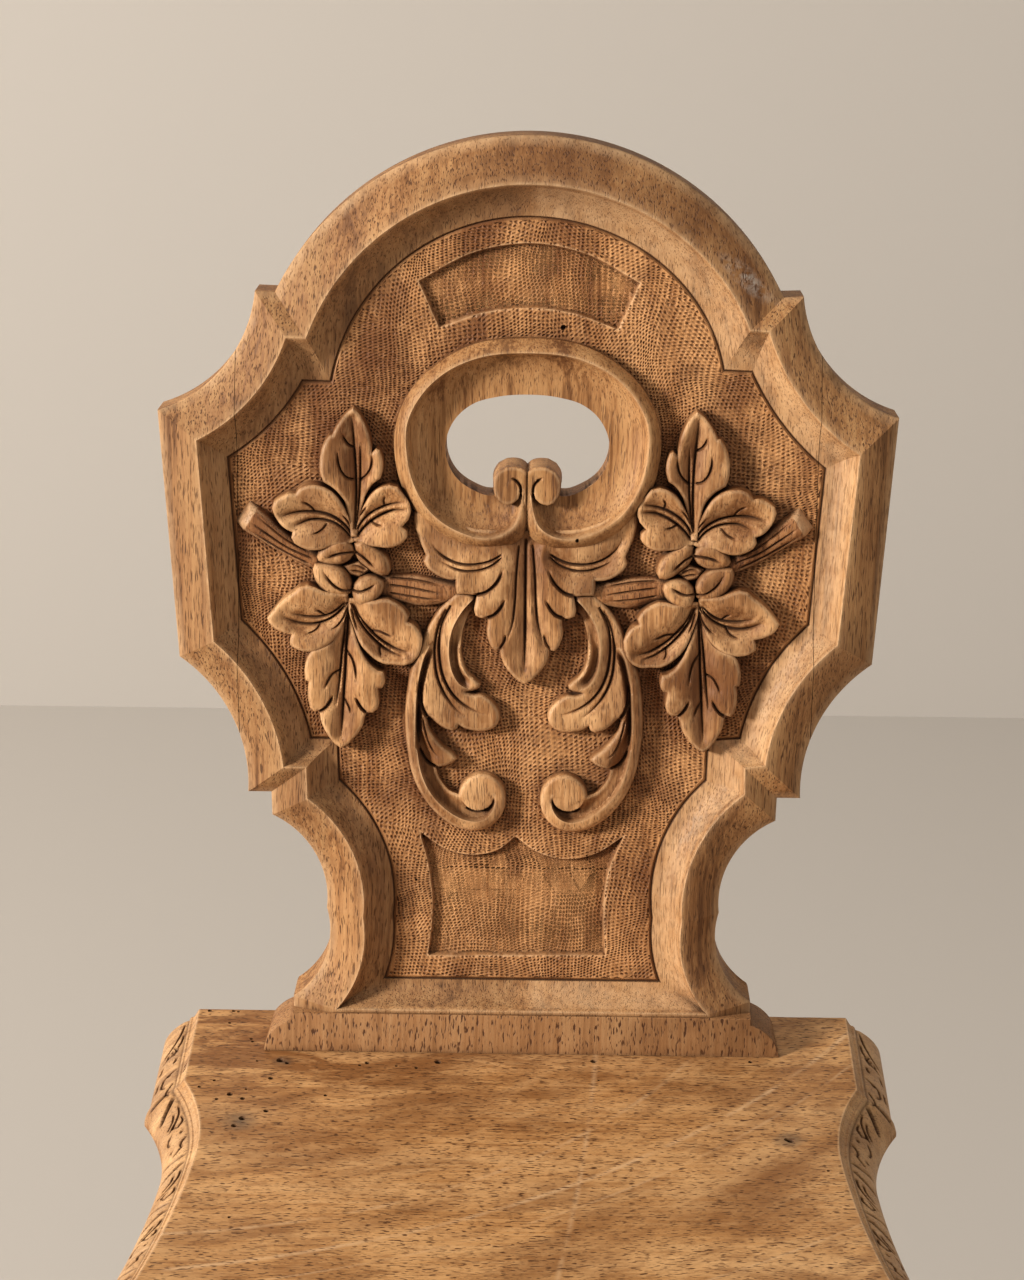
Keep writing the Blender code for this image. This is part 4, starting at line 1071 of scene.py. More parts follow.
leafForms = [
    # Top leaf
    {
        **leaf,
        "edge": [(87.6, 342.2), (91.2, 339.4), (94.6, 335.2), (97.0, 331.2), (98.2, 328.6), (99.8, 328.4),
            (102.2, 324.5), (103.9, 319.5), (104.6, 314.0), (104.2, 308.5), (102.6, 304.4), (97.0, 300.6),
            (92.8, 295.5), (90.6, 288.0), (89.0, 276.0), (86.0, 276.0), (84.8, 285.0), (83.0, 293.0),
            (80.5, 299.5), (77.5, 303.8), (74.0, 306.4), (72.6, 311.5), (73.0, 317.0), (74.3, 320.8),
            (76.0, 321.8), (78.2, 319.6), (78.7, 324.0), (79.6, 328.5), (81.4, 333.6), (84.2, 338.6)],
        "cuts": [
            (0.8, 1.5, [(86.3, 280.0), (85.4, 290.0), (84.6, 300.0), (84.2, 312.0), (84.2, 323.5)]),
            (0.9, 1.8, [(87.1, 280.0), (86.6, 292.0), (86.5, 304.0), (87.2, 320.0), (88.4, 336.5)]),
            (0.9, 1.9, [(87.6, 305.2), (90.8, 306.2), (93.4, 309.0), (95.3, 314.0), (95.7, 320.5)]),
            (0.9, 1.8, [(87.8, 321.8), (90.4, 323.4), (92.2, 326.0), (93.4, 329.5)]),
            (0.9, 1.9, [(84.4, 304.8), (81.8, 306.9), (79.4, 310.4), (78.2, 315.0), (78.2, 319.4)]),
        ],
        "rise": 6.4,
    },
    # Leaf to the upper outside
    {
        **leaf,
        "edge": [(86.6, 275.0), (88.6, 282.0), (90.6, 288.6), (93.4, 294.8), (97.0, 299.8), (101.5, 302.9),
            (106.5, 304.3), (111.0, 304.0), (114.8, 302.0), (116.8, 299.6), (120.0, 299.6), (124.0, 297.8),
            (127.6, 295.2), (128.5, 292.0), (127.4, 288.4), (125.2, 284.6), (121.8, 281.4), (118.3, 279.6),
            (118.9, 276.8), (117.2, 274.0), (113.4, 271.8), (108.5, 270.7), (103.0, 271.2), (98.0, 273.0),
            (92.0, 273.0)],
        "cuts": [
            (0.95, 1.9, [(87.8, 277.4), (91.6, 282.8), (97.0, 287.0), (103.5, 289.3), (111.0, 289.9),
                (117.5, 289.4), (122.8, 288.0)]),
            (0.85, 1.7, [(89.2, 277.0), (93.2, 281.6), (98.2, 284.6), (104.0, 285.9), (110.5, 285.6),
                (116.2, 283.2)]),
            (0.85, 1.4, [(107.2, 290.0), (108.8, 292.6), (111.2, 294.4), (114.4, 295.2)]),
            (0.85, 1.4, [(101.0, 283.6), (103.6, 280.8), (106.4, 279.2), (109.2, 278.4)]),
            (0.75, 1.3, [(87.8, 279.4), (90.0, 284.4), (93.8, 289.4)]),
        ],
        "rise": 7.0, "shift": (0.2, -1.3),
    },
    # Leaf to the upper inside
    {
        **leaf,
        "edge": [(88.0, 274.0), (86.2, 281.0), (84.4, 287.6), (81.6, 293.6), (78.4, 298.6), (74.0, 302.0),
            (69.6, 303.3), (65.2, 302.3), (62.0, 298.0), (59.2, 293.4), (58.6, 289.6), (59.8, 285.4),
            (63.0, 281.8), (60.6, 279.6), (60.3, 276.8), (62.2, 274.2), (65.6, 272.0), (70.0, 270.9),
            (75.0, 271.2), (82.0, 272.0)],
        "cuts": [
            (0.85, 1.7, [(86.6, 277.0), (84.4, 282.2), (81.0, 286.6), (77.0, 289.6), (72.0, 291.9),
                (66.5, 293.4), (62.5, 294.2)]),
            (0.95, 1.9, [(85.6, 276.6), (82.0, 281.2), (77.4, 285.2), (72.2, 288.1), (67.0, 289.8),
                (62.0, 290.3)]),
            (0.75, 1.3, [(85.4, 284.8), (83.2, 288.6), (80.6, 292.2)]),
            (0.85, 1.4, [(72.2, 292.4), (72.6, 295.0), (71.4, 297.6)]),
            (0.85, 1.4, [(79.2, 284.2), (75.8, 282.3), (72.0, 281.9)]),
        ],
        "rise": 6.8,
    },
    # Leaf to the lower outside
    {
        **leaf,
        "edge": [(90.6, 246.5), (96.0, 247.0), (103.0, 248.0), (107.2, 250.0), (111.0, 251.2),
            (115.2, 250.2), (118.4, 247.2), (121.4, 245.0), (125.0, 241.8), (128.6, 237.6), (131.8, 233.4),
            (130.2, 230.2), (127.0, 227.6), (123.0, 225.8), (119.4, 224.8), (120.3, 222.0), (120.2, 219.6),
            (117.0, 217.6), (112.0, 216.4), (107.0, 216.8), (102.4, 218.8), (98.4, 222.0), (95.0, 226.4),
            (92.6, 232.6), (90.6, 240.0)],
        "cuts": [
            (0.85, 1.7, [(92.6, 241.2), (96.6, 237.6), (101.0, 235.1), (105.5, 234.0), (111.0, 233.9),
                (117.8, 235.3)]),
            (0.95, 1.9, [(91.2, 241.0), (95.4, 236.4), (100.2, 232.9), (105.4, 230.8), (111.0, 230.0),
                (117.0, 230.9), (122.4, 233.2)]),
            (0.8, 1.5, [(91.0, 238.8), (93.0, 233.8), (95.8, 229.9), (99.8, 227.0)]),
            (0.85, 1.4, [(102.6, 234.9), (104.8, 236.9), (107.4, 238.0)]),
            (0.85, 1.4, [(104.7, 230.9), (106.0, 228.2), (108.6, 226.2), (112.4, 225.0)]),
        ],
        "rise": 6.8,
    },
    # Leaf to the lower inside
    {
        **leaf,
        "edge": [(90.4, 244.0), (84.0, 244.0), (77.6, 243.4), (73.5, 244.3), (70.0, 244.4), (65.8, 242.4),
            (61.6, 238.8), (59.4, 235.4), (60.2, 232.6), (57.0, 231.0), (54.2, 227.6), (52.6, 223.6),
            (53.2, 218.8), (55.0, 214.0), (57.6, 210.9), (62.0, 209.4), (67.0, 209.8), (71.6, 209.9),
            (75.6, 211.6), (79.6, 214.8), (83.2, 218.8), (85.9, 223.6), (88.0, 229.4), (90.2, 237.0)],
        "cuts": [
            (0.85, 1.7, [(87.6, 240.4), (84.2, 233.2), (80.2, 228.5), (76.0, 224.1), (71.0, 220.3),
                (66.0, 217.6), (60.2, 216.2)]),
            (0.95, 1.9, [(88.6, 240.6), (86.2, 234.2), (82.8, 228.6), (78.6, 223.7), (74.0, 219.3),
                (69.0, 215.9), (63.8, 214.0)]),
            (0.85, 1.4, [(78.4, 226.9), (74.6, 227.0), (71.0, 225.6), (67.2, 223.9)]),
            (0.85, 1.4, [(74.3, 219.6), (74.6, 216.2), (73.2, 212.9)]),
            (0.75, 1.3, [(89.0, 238.0), (87.4, 231.4), (85.4, 226.6)]),
        ],
        "rise": 6.8,
    },
    # Bottom leaf
    {
        **leaf,
        "edge": [(91.6, 243.0), (89.8, 234.0), (87.8, 227.0), (85.6, 221.0), (82.6, 214.6), (79.0, 209.6),
            (75.4, 206.6), (72.6, 206.0), (71.8, 203.0), (72.0, 199.6), (73.2, 197.3), (75.4, 197.0),
            (75.0, 193.0), (74.8, 189.0), (75.6, 186.2), (77.8, 184.4), (80.8, 184.4), (82.0, 182.4),
            (83.0, 178.0), (85.2, 173.8), (88.6, 169.4), (91.6, 166.6), (94.5, 165.2), (97.2, 167.0),
            (100.2, 170.6), (102.8, 175.4), (104.6, 180.0), (105.1, 183.2), (105.8, 184.9), (108.2, 184.5),
            (110.0, 186.2), (111.0, 190.4), (111.3, 195.4), (110.6, 200.4), (112.4, 201.2), (112.9, 205.0),
            (112.3, 210.0), (110.8, 214.5), (108.6, 217.4), (104.0, 219.0), (99.0, 222.0), (95.4, 228.0),
            (93.4, 236.0)],
        "cuts": [
            (0.95, 2.0, [(90.8, 242.0), (91.2, 228.0), (91.9, 212.0), (92.8, 196.0), (93.8, 181.0),
                (94.5, 171.5)]),
            (0.8, 1.6, [(91.4, 240.0), (92.7, 226.0), (94.0, 214.0), (95.0, 204.0), (96.0, 194.0),
                (96.8, 188.0)]),
            (0.9, 1.7, [(91.8, 216.6), (89.2, 213.8), (87.4, 209.4), (86.5, 204.4), (86.1, 199.8)]),
            (1.1, 2.6, [(81.4, 184.4), (83.6, 186.6), (85.4, 189.4), (86.6, 192.6)]),
            (0.85, 1.3, [(92.6, 190.9), (90.4, 187.4), (89.0, 182.8)]),
            (0.9, 1.7, [(95.0, 206.0), (98.4, 204.6), (101.0, 200.8), (103.0, 196.0)]),
            (1.1, 2.6, [(105.2, 184.6), (102.4, 186.4), (100.2, 189.4), (98.5, 193.2)]),
        ],
        "rise": 6.6,
    },
    # Short stalk between the small leaves
    {
        "edge": [(79.0, 258.8), (85.0, 263.0), (92.8, 260.6), (90.0, 256.0), (84.6, 254.6)],
        "cuts": [
            (0.7, 1.0, [(81.5, 258.8), (86.0, 260.6), (90.5, 260.4)]),
            (0.7, 1.0, [(82.5, 257.0), (86.5, 258.0), (90.0, 258.0)]),
        ],
        "rise": 5.6, "puff": 0.3, "vee": 0.0, "fall": 1.0, "round": 2.0,
    },
    # Small leaf, lower outside
    {
        **smallLeaf,
        "edge": [(89.0, 246.6), (88.6, 251.8), (90.5, 256.6), (94.2, 260.2), (99.0, 261.9), (104.0, 262.3),
            (107.4, 262.0), (108.4, 258.8), (107.5, 254.3), (105.0, 249.8), (101.4, 246.2), (96.6, 244.6),
            (92.4, 244.9)],
        "cuts": [
            (0.9, 1.7, [(88.8, 248.0), (93.2, 248.4), (97.6, 250.9), (100.8, 254.4), (103.0, 258.4)]),
        ],
        "rise": 8.4,
    },
    # Small leaf, lower inside
    {
        **smallLeaf,
        "edge": [(88.6, 247.0), (87.7, 251.5), (84.6, 254.9), (80.2, 256.1), (75.8, 255.6), (72.6, 253.6),
            (72.0, 250.6), (73.4, 246.8), (76.2, 243.2), (80.2, 240.8), (84.4, 240.4), (87.4, 242.6)],
        "cuts": [
            (0.9, 1.7, [(88.2, 248.2), (84.2, 247.9), (80.0, 249.4), (76.3, 251.8)]),
        ],
        "rise": 8.6,
    },
    # Small leaf, upper inside
    {
        **smallLeaf,
        "edge": [(87.3, 272.6), (83.6, 274.4), (79.6, 272.9), (75.4, 270.6), (71.8, 267.2), (69.4, 262.6),
            (68.8, 258.8), (70.2, 256.2), (73.6, 255.6), (77.4, 257.2), (81.4, 260.2), (84.8, 263.2),
            (87.0, 266.8)],
        "cuts": [
            (0.9, 1.7, [(87.0, 268.3), (83.2, 266.2), (79.6, 262.9), (76.4, 259.8)]),
        ],
        "rise": 8.4,
    },
    # Small leaf, upper outside
    {
        **smallLeaf,
        "edge": [(86.8, 268.0), (88.2, 271.4), (91.0, 273.8), (94.6, 274.8), (98.6, 274.0), (102.4, 271.4),
            (105.3, 268.2), (106.4, 265.4), (105.6, 263.2), (102.6, 261.8), (98.0, 261.1), (93.6, 261.8),
            (89.6, 264.0)],
        "cuts": [
            (0.9, 1.7, [(87.4, 268.1), (92.2, 267.8), (97.2, 266.7), (101.8, 264.6)]),
        ],
        "rise": 8.6,
    },
]
palmetteForm = {
    "half": [(0.0, 280.0), (30.0, 281.0), (52.0, 292.0), (57.0, 288.0), (56.4, 281.6), (54.9, 276.0),
        (52.6, 270.6), (50.6, 266.2), (51.6, 263.2), (50.6, 260.9), (47.6, 257.9), (44.0, 255.6),
        (39.6, 254.1), (35.4, 253.9), (35.5, 250.0), (34.8, 246.5), (30.0, 246.4), (24.6, 246.0),
        (25.3, 242.6), (25.9, 238.2), (25.2, 235.4), (22.4, 234.3), (19.0, 234.5), (18.9, 231.4),
        (19.5, 227.0), (18.5, 222.4), (16.9, 218.9), (15.1, 217.2), (12.6, 217.8), (11.8, 213.0),
        (10.0, 209.0), (6.6, 204.6), (3.2, 201.2), (0.0, 199.4)],
    "cuts": [
        (1.0, 2.2, [(0.0, 274.0), (0.0, 250.0), (0.0, 230.0), (0.0, 206.0)]),
        (0.85, 1.6, [(3.6, 271.0), (4.8, 256.0), (5.4, 242.0), (6.6, 231.0), (9.3, 221.4)]),
        (0.9, 1.8, [(12.6, 266.6), (16.0, 264.6), (20.6, 262.8), (27.0, 261.9), (34.0, 262.4),
            (40.2, 264.8), (45.2, 268.8), (48.8, 274.0)]),
        (0.85, 1.6, [(12.4, 265.2), (16.6, 261.8), (22.6, 259.3), (29.0, 258.6), (35.0, 259.5),
            (40.0, 261.5), (44.6, 264.4)]),
        (1.2, 2.8, [(24.8, 246.2), (20.6, 247.4), (16.8, 250.2), (13.6, 254.4), (11.4, 260.0)]),
        (1.2, 2.6, [(19.4, 234.4), (15.8, 236.0), (12.8, 239.2), (10.2, 244.2)]),
        (1.0, 1.8, [(12.8, 218.2), (10.6, 222.0), (9.6, 226.0)]),
    ],
    "rise": 6.4, "puff": 0.5, "vee": 3.2, "fall": 0.5, "round": 3.0, "ribs": 4, "tuck": (258.0, 276.0, 3.4),
}
scrollForm = {
    "edge": [(35.0, 247.0), (39.2, 243.2), (43.8, 238.4), (48.2, 231.6), (52.2, 224.0), (56.0, 214.6),
        (58.8, 205.0), (60.4, 195.0), (61.3, 184.0), (61.2, 174.0), (60.1, 163.0), (58.2, 152.6),
        (54.6, 143.0), (49.4, 134.6), (43.2, 128.0), (36.2, 123.3), (29.0, 121.0), (22.0, 121.2),
        (16.4, 123.8), (12.0, 128.4), (9.7, 134.2), (9.6, 140.2), (11.2, 145.4), (14.8, 149.4),
        (19.6, 151.4), (24.8, 151.1), (29.2, 148.6), (32.3, 144.8), (33.8, 140.4), (37.8, 141.6),
        (41.4, 144.8), (44.2, 149.6), (45.6, 154.9), (41.6, 155.4), (37.4, 157.0), (34.6, 159.5),
        (36.8, 162.0), (41.4, 165.6), (46.0, 170.6), (49.0, 175.6), (50.4, 180.6), (48.6, 181.6),
        (45.2, 178.2), (41.4, 175.5), (37.2, 174.1), (34.8, 175.4), (33.8, 177.4), (31.0, 175.7),
        (27.4, 174.7), (22.6, 174.1), (18.0, 175.0), (14.5, 177.2), (12.9, 180.6), (13.2, 184.6),
        (15.2, 188.2), (18.6, 191.6), (22.4, 193.8), (26.4, 193.8), (30.0, 194.9), (26.4, 195.7),
        (23.4, 197.0), (22.8, 199.3), (25.0, 201.2), (29.4, 205.2), (32.2, 211.6), (33.0, 219.6),
        (32.0, 227.6), (29.2, 235.4), (25.4, 241.4), (26.2, 245.6), (30.4, 247.4)],
    "cuts": [
        (1.0, 2.2, [(38.4, 240.0), (42.6, 231.0), (44.1, 222.0), (43.9, 213.0), (42.4, 204.4),
            (39.4, 197.2), (35.0, 191.4), (29.0, 186.9), (23.6, 184.4), (18.6, 183.0)]),
        (1.0, 2.0, [(40.8, 238.0), (44.4, 229.6), (46.1, 221.0), (46.3, 212.0), (45.1, 203.4),
            (42.4, 196.0), (38.4, 189.6), (34.0, 184.7), (30.2, 181.8)]),
        (1.3, 3.4, [(49.8, 181.2), (52.4, 186.0), (53.8, 191.0), (54.3, 196.6), (54.2, 202.0)]),
        (1.0, 2.0, [(55.2, 165.8), (55.2, 175.0), (55.0, 184.0), (54.6, 192.0)]),
        (1.1, 2.4, [(45.4, 155.0), (49.4, 156.6), (52.6, 160.6), (55.0, 166.0)]),
        (0.8, 1.3, [(52.4, 180.6), (50.9, 173.6), (48.4, 166.4), (45.8, 162.2), (42.6, 159.8)]),
        (0.9, 2.0, [(29.5, 132.6), (25.4, 131.0), (21.4, 131.2), (18.0, 132.8), (15.6, 136.4),
            (15.2, 139.6)]),
    ],
    "coves": [
        {
            "high": (5.4, 1.5), "low": (4.0, 10.5, 0.42), "drop": 3.6, "end": 0.1,
            "line": [(49.0, 219.0), (51.4, 214.4), (53.4, 207.6), (54.8, 200.0), (55.7, 192.0),
                (56.1, 183.0), (56.0, 173.0), (55.0, 163.0), (53.3, 153.4), (50.2, 145.2), (46.0, 138.6),
                (40.8, 133.4), (35.0, 129.4), (29.0, 127.0), (23.6, 126.6), (19.4, 128.4), (16.6, 131.6),
                (15.0, 136.0), (15.4, 140.6)],
        },
        {
            "high": (4.5, 1.0), "low": (7.0, 6.0, 0.5), "drop": 3.4, "end": 0.1,
            "line": [(26.0, 245.0), (29.4, 241.6), (34.4, 234.8), (37.6, 227.8), (39.0, 220.4),
                (38.9, 213.0), (37.2, 205.4), (33.6, 199.6), (28.6, 196.4)],
        },
    ],
    "bosses": [((23.8, 140.4), 9.0, 0.7)], "rise": 5.6, "puff": 0.5, "vee": 0.8, "fall": 0.9, "round": 3.0,
    "corner": 46.0, "wave": 0.5,
}
# How the knife works: steps of the mesh, how far a cut's ends taper, and the wall down into the ground
carving = {
    "step": 0.85,
    "seedSpacing": 1.02,
    "clear": 0.42,
    "taper": 3.2,
    "start": (10.0, 0.55),
    "corner": 25.0,
    "wave": 0.95,
    "wallShares": (0.6, 1.0),
    "wallSpread": 0.28,
}


def mirrorCuts(cuts):
    # The cuts with their mirror images, but for the one in the middle
    aside = [cut for cut in cuts if cut[2][0][0] > 0.0]
    return cuts + [(width, depth, [(-u, v) for u, v in line]) for width, depth, line in aside]


def taper(along):
    # A cut starts deep and runs out in a fine end
    slope, start = carving["start"]
    return np.clip((1.0 - along) * carving["taper"], 0.0, 1.0) * np.clip(along * slope + start, 0.0, 1.0)


def signedGap(places, line):
    # As nearest for an open line, with the gap negative on the line's left side
    gap, along = nearest(places, line)
    a = np.array(line)
    first = np.minimum((along * (len(a) - 1)).astype(int), len(a) - 2)
    ahead, off = a[first + 1] - a[first], places - a[first]
    left = ahead[:, 0] * off[:, 1] - ahead[:, 1] * off[:, 0] > 0.0
    return np.where(left, -gap, gap), along


def laidOut(form, line, side, move):
    # Where the places of a form's line lie on the board
    across, up = form.get("shift", (0.0, 0.0))
    return [(side * (u + across) + move[0], v + up + move[1]) for u, v in line]


def carvedLine(line):
    return smoothLine(line, carving["step"])


def runsInside(loop, places, offset):
    # The stretches of a line, moved aside by the offset, that lie well inside the loop
    moved = places + sideways(np.gradient(places, axis=0)) * offset
    good = inside(moved, loop) & (nearest(moved, loop, True)[0] > 0.3)
    runs = [[]]
    for place, ok in zip(moved, good):
        if ok:
            runs[-1].append(tuple(place))
        else:
            runs.append([])
    return [run for run in runs if len(run) > 1]


def coveHeight(cove, spots):
    # A crest along the line: the left side slopes gently away, the right side falls into a cove
    gap, along = signedGap(spots, cove["line"])
    highReach, amount = cove["high"]
    first, last, change = cove["low"]
    reach = first + (last - first) * np.clip((along - change + 0.06) / 0.12, 0.0, 1.0)
    fade = np.clip(along * 14.0 + 0.2, 0.0, 1.0) * np.clip((1.0 - along) / cove["end"], 0.0, 1.0)
    crest = amount * np.clip(1.0 + gap / highReach, 0.0, 1.0) ** 0.8
    steep = np.clip(gap / 1.1, 0.0, 1.0) ** 0.7
    floor = np.clip((reach - gap) / (0.6 * reach), 0.0, 1.0)
    low = amount * (1.0 - steep) - cove["drop"] * steep * floor * floor * (3.0 - 2.0 * floor)
    return fade * np.where(gap <= 0.0, crest, low)


def formHeight(form, cuts, coves, spots, edge, side):
    # The height of the form's top at each place, and how worn it is there
    height = np.full(len(spots), float(form["rise"]))
    near, rib = np.full(len(spots), 1e3), np.full(len(spots), 1e3)
    for number, (width, depth, line) in enumerate(cuts):
        gap, along = nearest(spots, line)
        near = np.minimum(near, gap + (1.0 - taper(along)) * 2.5)
        if number < form.get("ribs", 2):
            rib = np.minimum(rib, gap + np.clip(along - 0.8, 0.0, 0.2) * 12.0)
    height += form["puff"] * (1.0 - np.exp(-near / 2.2)) * np.clip(edge / 1.6, 0.0, 1.0)
    height += form["vee"] * (1.0 - np.exp(-(rib / 5.0) ** 1.4)) - form["vee"] * 0.5
    for cove in coves:
        height += coveHeight(cove, spots)
    for (u, v), radius, top in form.get("bosses", ()):
        gap = np.hypot(spots[:, 0] - u, spots[:, 1] - v)
        share = np.clip((radius - gap) / 0.7, 0.0, 1.0)
        height += share * (np.maximum(height, form["rise"] + top - 0.35 * (gap / radius) ** 2) - height)
    if "tuck" in form:
        start, end, amount = form["tuck"]
        height -= amount * np.clip((spots[:, 1] - start) / (end - start), 0.0, 1.0)
    fall = form["fall"] * np.clip(1.0 - edge / form["round"], 0.0, 1.0) ** 2
    height -= fall + 0.30 * np.clip(1.0 - edge / 0.7, 0.0, 1.0) ** 2
    wave = form.get("wave", carving["wave"])
    height += wave * rough(spots, 12.0, 3.0 + side) + 0.12 * rough(spots, 3.5, 7.0 + side)
    wearAndSheen = 0.75 * np.clip(1.0 - np.abs(edge - 0.9), 0.0, 1.0)
    for cove in coves:
        wearAndSheen = np.maximum(wearAndSheen, np.clip(1.0 - nearest(spots, cove["line"])[0] / 1.1, 0.0, 1.0))
    for width, depth, line in cuts:
        gap, along = nearest(spots, line)
        cut = taper(along) * np.clip(1.0 - gap / width, 0.0, 1.0)
        height -= depth * cut
        wearAndSheen *= 1.0 - np.clip(cut * 2.0, 0.0, 1.0)
    if "facet" in form:
        # The cut end of a twig
        reach, slope, line = form["facet"]
        gap = nearest(spots, line)[0]
        height -= slope * np.clip(reach - gap, 0.0, reach)
        wearAndSheen = np.maximum(wearAndSheen, 1.1 * (gap < reach))
    return height, wearAndSheen


def wallDown(bm, rim, bottom):
    # From the rim down to the bottom, each step a little wider, and a flat face to close it
    outward = {}
    for edge in rim:
        a, b = edge.verts
        away = (a.co + b.co) / 2 - edge.link_faces[0].calc_center_median()
        along = (b.co - a.co).normalized()
        away = away - along * away.dot(along)
        away.y = 0.0
        for vert in (a, b):
            outward[vert] = outward.get(vert, Vector()) + away.normalized()
    for share in carving["wallShares"]:
        grown = bmesh.ops.extrude_edge_only(bm, edges=rim)["geom"]
        rim = [part for part in grown if isinstance(part, bmesh.types.BMEdge)]
        moved = {}
        for vert in (part for part in grown if isinstance(part, bmesh.types.BMVert)):
            old = next(e.other_vert(vert) for e in vert.link_edges if e.other_vert(vert) in outward)
            vert.co.y += (bottom - vert.co.y) * share
            vert.co += outward[old].normalized() * carving["wallSpread"] * mm
            moved[vert] = outward[old]
        outward = moved
    bmesh.ops.holes_fill(bm, edges=rim, sides=0)


def carveForm(bm, form, side, foot, move):
    # A closed raised form with its veins cut in, round at the edge, and walled into the ground
    step = carving["step"]
    loop = smoothLine(form["edge"], step, True, form.get("corner", carving["corner"]))
    cuts = [(width, depth, carvedLine(line)) for width, depth, line in form["cuts"]]
    coves = [dict(cove, line=carvedLine(cove["line"])) for cove in form.get("coves", ())]
    lines, lips = [], []
    kept = [(width, line) for width, depth, line in cuts] + [(0.0, cove["line"]) for cove in coves]
    for width, line in kept:
        for offset in ((0.0, width, -width) if width else (0.0, 0.9)):
            runs = runsInside(loop, np.array(line), offset)
            if offset == 0.0:
                lines += runs
            else:
                lips += [np.array(run) for run in runs]
    for (u, v), radius, top in form.get("bosses", ()):
        lips += [circle(60, 61) * reach + (u, v) for reach in (radius, radius - 0.7)]
    seeds = np.concatenate([hexSeeds(loop, step * carving["seedSpacing"])] + lips)
    spots, faces = triangles(loop, seeds, lines=lines, clear=step * carving["clear"])[:2]
    height, wearAndSheen = formHeight(form, cuts, coves, spots, nearest(spots, loop, True)[0], side)
    wearAndSheenLayer = bm.verts.layers.float.get("wearAndSheen") or bm.verts.layers.float.new("wearAndSheen")
    top = heightVerts(bm, laidOut(form, spots, side, move), groundBase + height)
    for vert, value in zip(top, wearAndSheen):
        vert[wearAndSheenLayer] = float(value)
    made = []
    for face in faces:
        corners = [top[i] for i in face]
        made.append(bm.faces.new(corners if side > 0 else corners[::-1]))
    rim = [edge for face in made for edge in face.edges if edge.is_boundary]
    wallDown(bm, rim, board["ridgeDepth"] - (groundBase + foot) * mm)


def carvedPiece(name, forms, side=1.0, move=(0.0, 0.0), material=carvedWood, foot=-1.2):
    bm = bmesh.new()
    for form in forms:
        carveForm(bm, form, side, foot, move)
    bmesh.ops.recalc_face_normals(bm, faces=bm.faces[:])
    return finishPiece(name, bm, material, ["back_board"], matrix=boardMatrix)


palmette = dict(
    palmetteForm, edge=bothSides(palmetteForm["half"]), cuts=mirrorCuts(palmetteForm["cuts"])
)
# The two sides were cut by hand and don't quite match
moves = {"spray": {-1.0: (0.0, -1.6), 1.0: (-2.6, -1.6)}, "scroll": {-1.0: (0.0, -1.4), 1.0: (-0.8, -1.4)}}
palmetteMove = (-0.3, -1.0)
carvedLoops = [laidOut(palmette, smoothLine(palmette["edge"], 1.5, True), 1.0, palmetteMove)]
for side in (-1.0, 1.0):
    for kind, forms in (("spray", twigForms + leafForms), ("scroll", [scrollForm])):
        for form in forms:
            carvedLoops.append(laidOut(form, smoothLine(form["edge"], 1.5, True), side, moves[kind][side]))

for side, hand in ((-1.0, "Left"), (1.0, "Right")):
    carvedPiece("leafSpray" + hand, leafForms, side, moves["spray"][side])
    carvedPiece("twigs" + hand, twigForms, side, moves["spray"][side], twigWoodAndShade)
    carvedPiece("scroll" + hand, [scrollForm], side, moves["scroll"][side])
carvedPiece("leafUnderRing", [palmette], move=palmetteMove)
ringEnds = {
    "edge": bothSides(ringShape["ends"]), "cuts": mirrorCuts(ringShape["endCuts"]),
    "rise": 5.6, "puff": 0.2, "vee": 0.0, "fall": 0.0, "round": 1.0, "wave": 0.3,
}
carvedPiece("ringEnds", [ringEnds], material=ringWood, foot=-18.0)
print("carving ready")


def splitPieces(name, bm, material):
    # The board is glued up from a wide middle and two ears
    half = board["glueGap"] / 2.0
    for part, low, high, replaced in (
        ("Middle", -board["glueLine"], board["glueLine"], "back_board"),
        ("EarLeft", None, -board["glueLine"], "back_ear_left"),
        ("EarRight", board["glueLine"], None, "back_ear_right"),
    ):
        copy = bm.copy()
        if low is not None:
            cutAway(copy, (low + half, 0.0, 0.0), (-1.0, 0.0, 0.0))
        if high is not None:
            cutAway(copy, (high - half, 0.0, 0.0), (1.0, 0.0, 0.0))
        finishPiece(name + part, copy, material, [replaced], matrix=boardMatrix)
    bm.free()


splitPieces("frame", makeFrame(), frameWood)
splitPieces("ground", makeGround(), groundWood)
finishPiece("ring", makeRing(), ringWood, ["back_board"], matrix=boardMatrix)
print("board ready")


# Plinth and tenons of the board. The rounded end's places are shares of its width and height

plinthShape = {
    "halfWidth": 135.3,
    "height": 21.0,
    "depth": 36.9,
    "round": (15.3, 17.2),
    "roundPlaces": ((0.42, 0.83), (0.80, 0.50)),
    "bevel": 0.7,
}
tenonShape = {"place": 95.0, "halfWidth": 22.0, "length": 89.0, "hidden": 8.0, "rear": 6.0, "front": 26.0}
edgeBevel = {"offset_type": "OFFSET", "profile": 0.5, "affect": "EDGES", "material": -1}


def vertsIn(geom):
    return [part for part in geom if isinstance(part, bmesh.types.BMVert)]


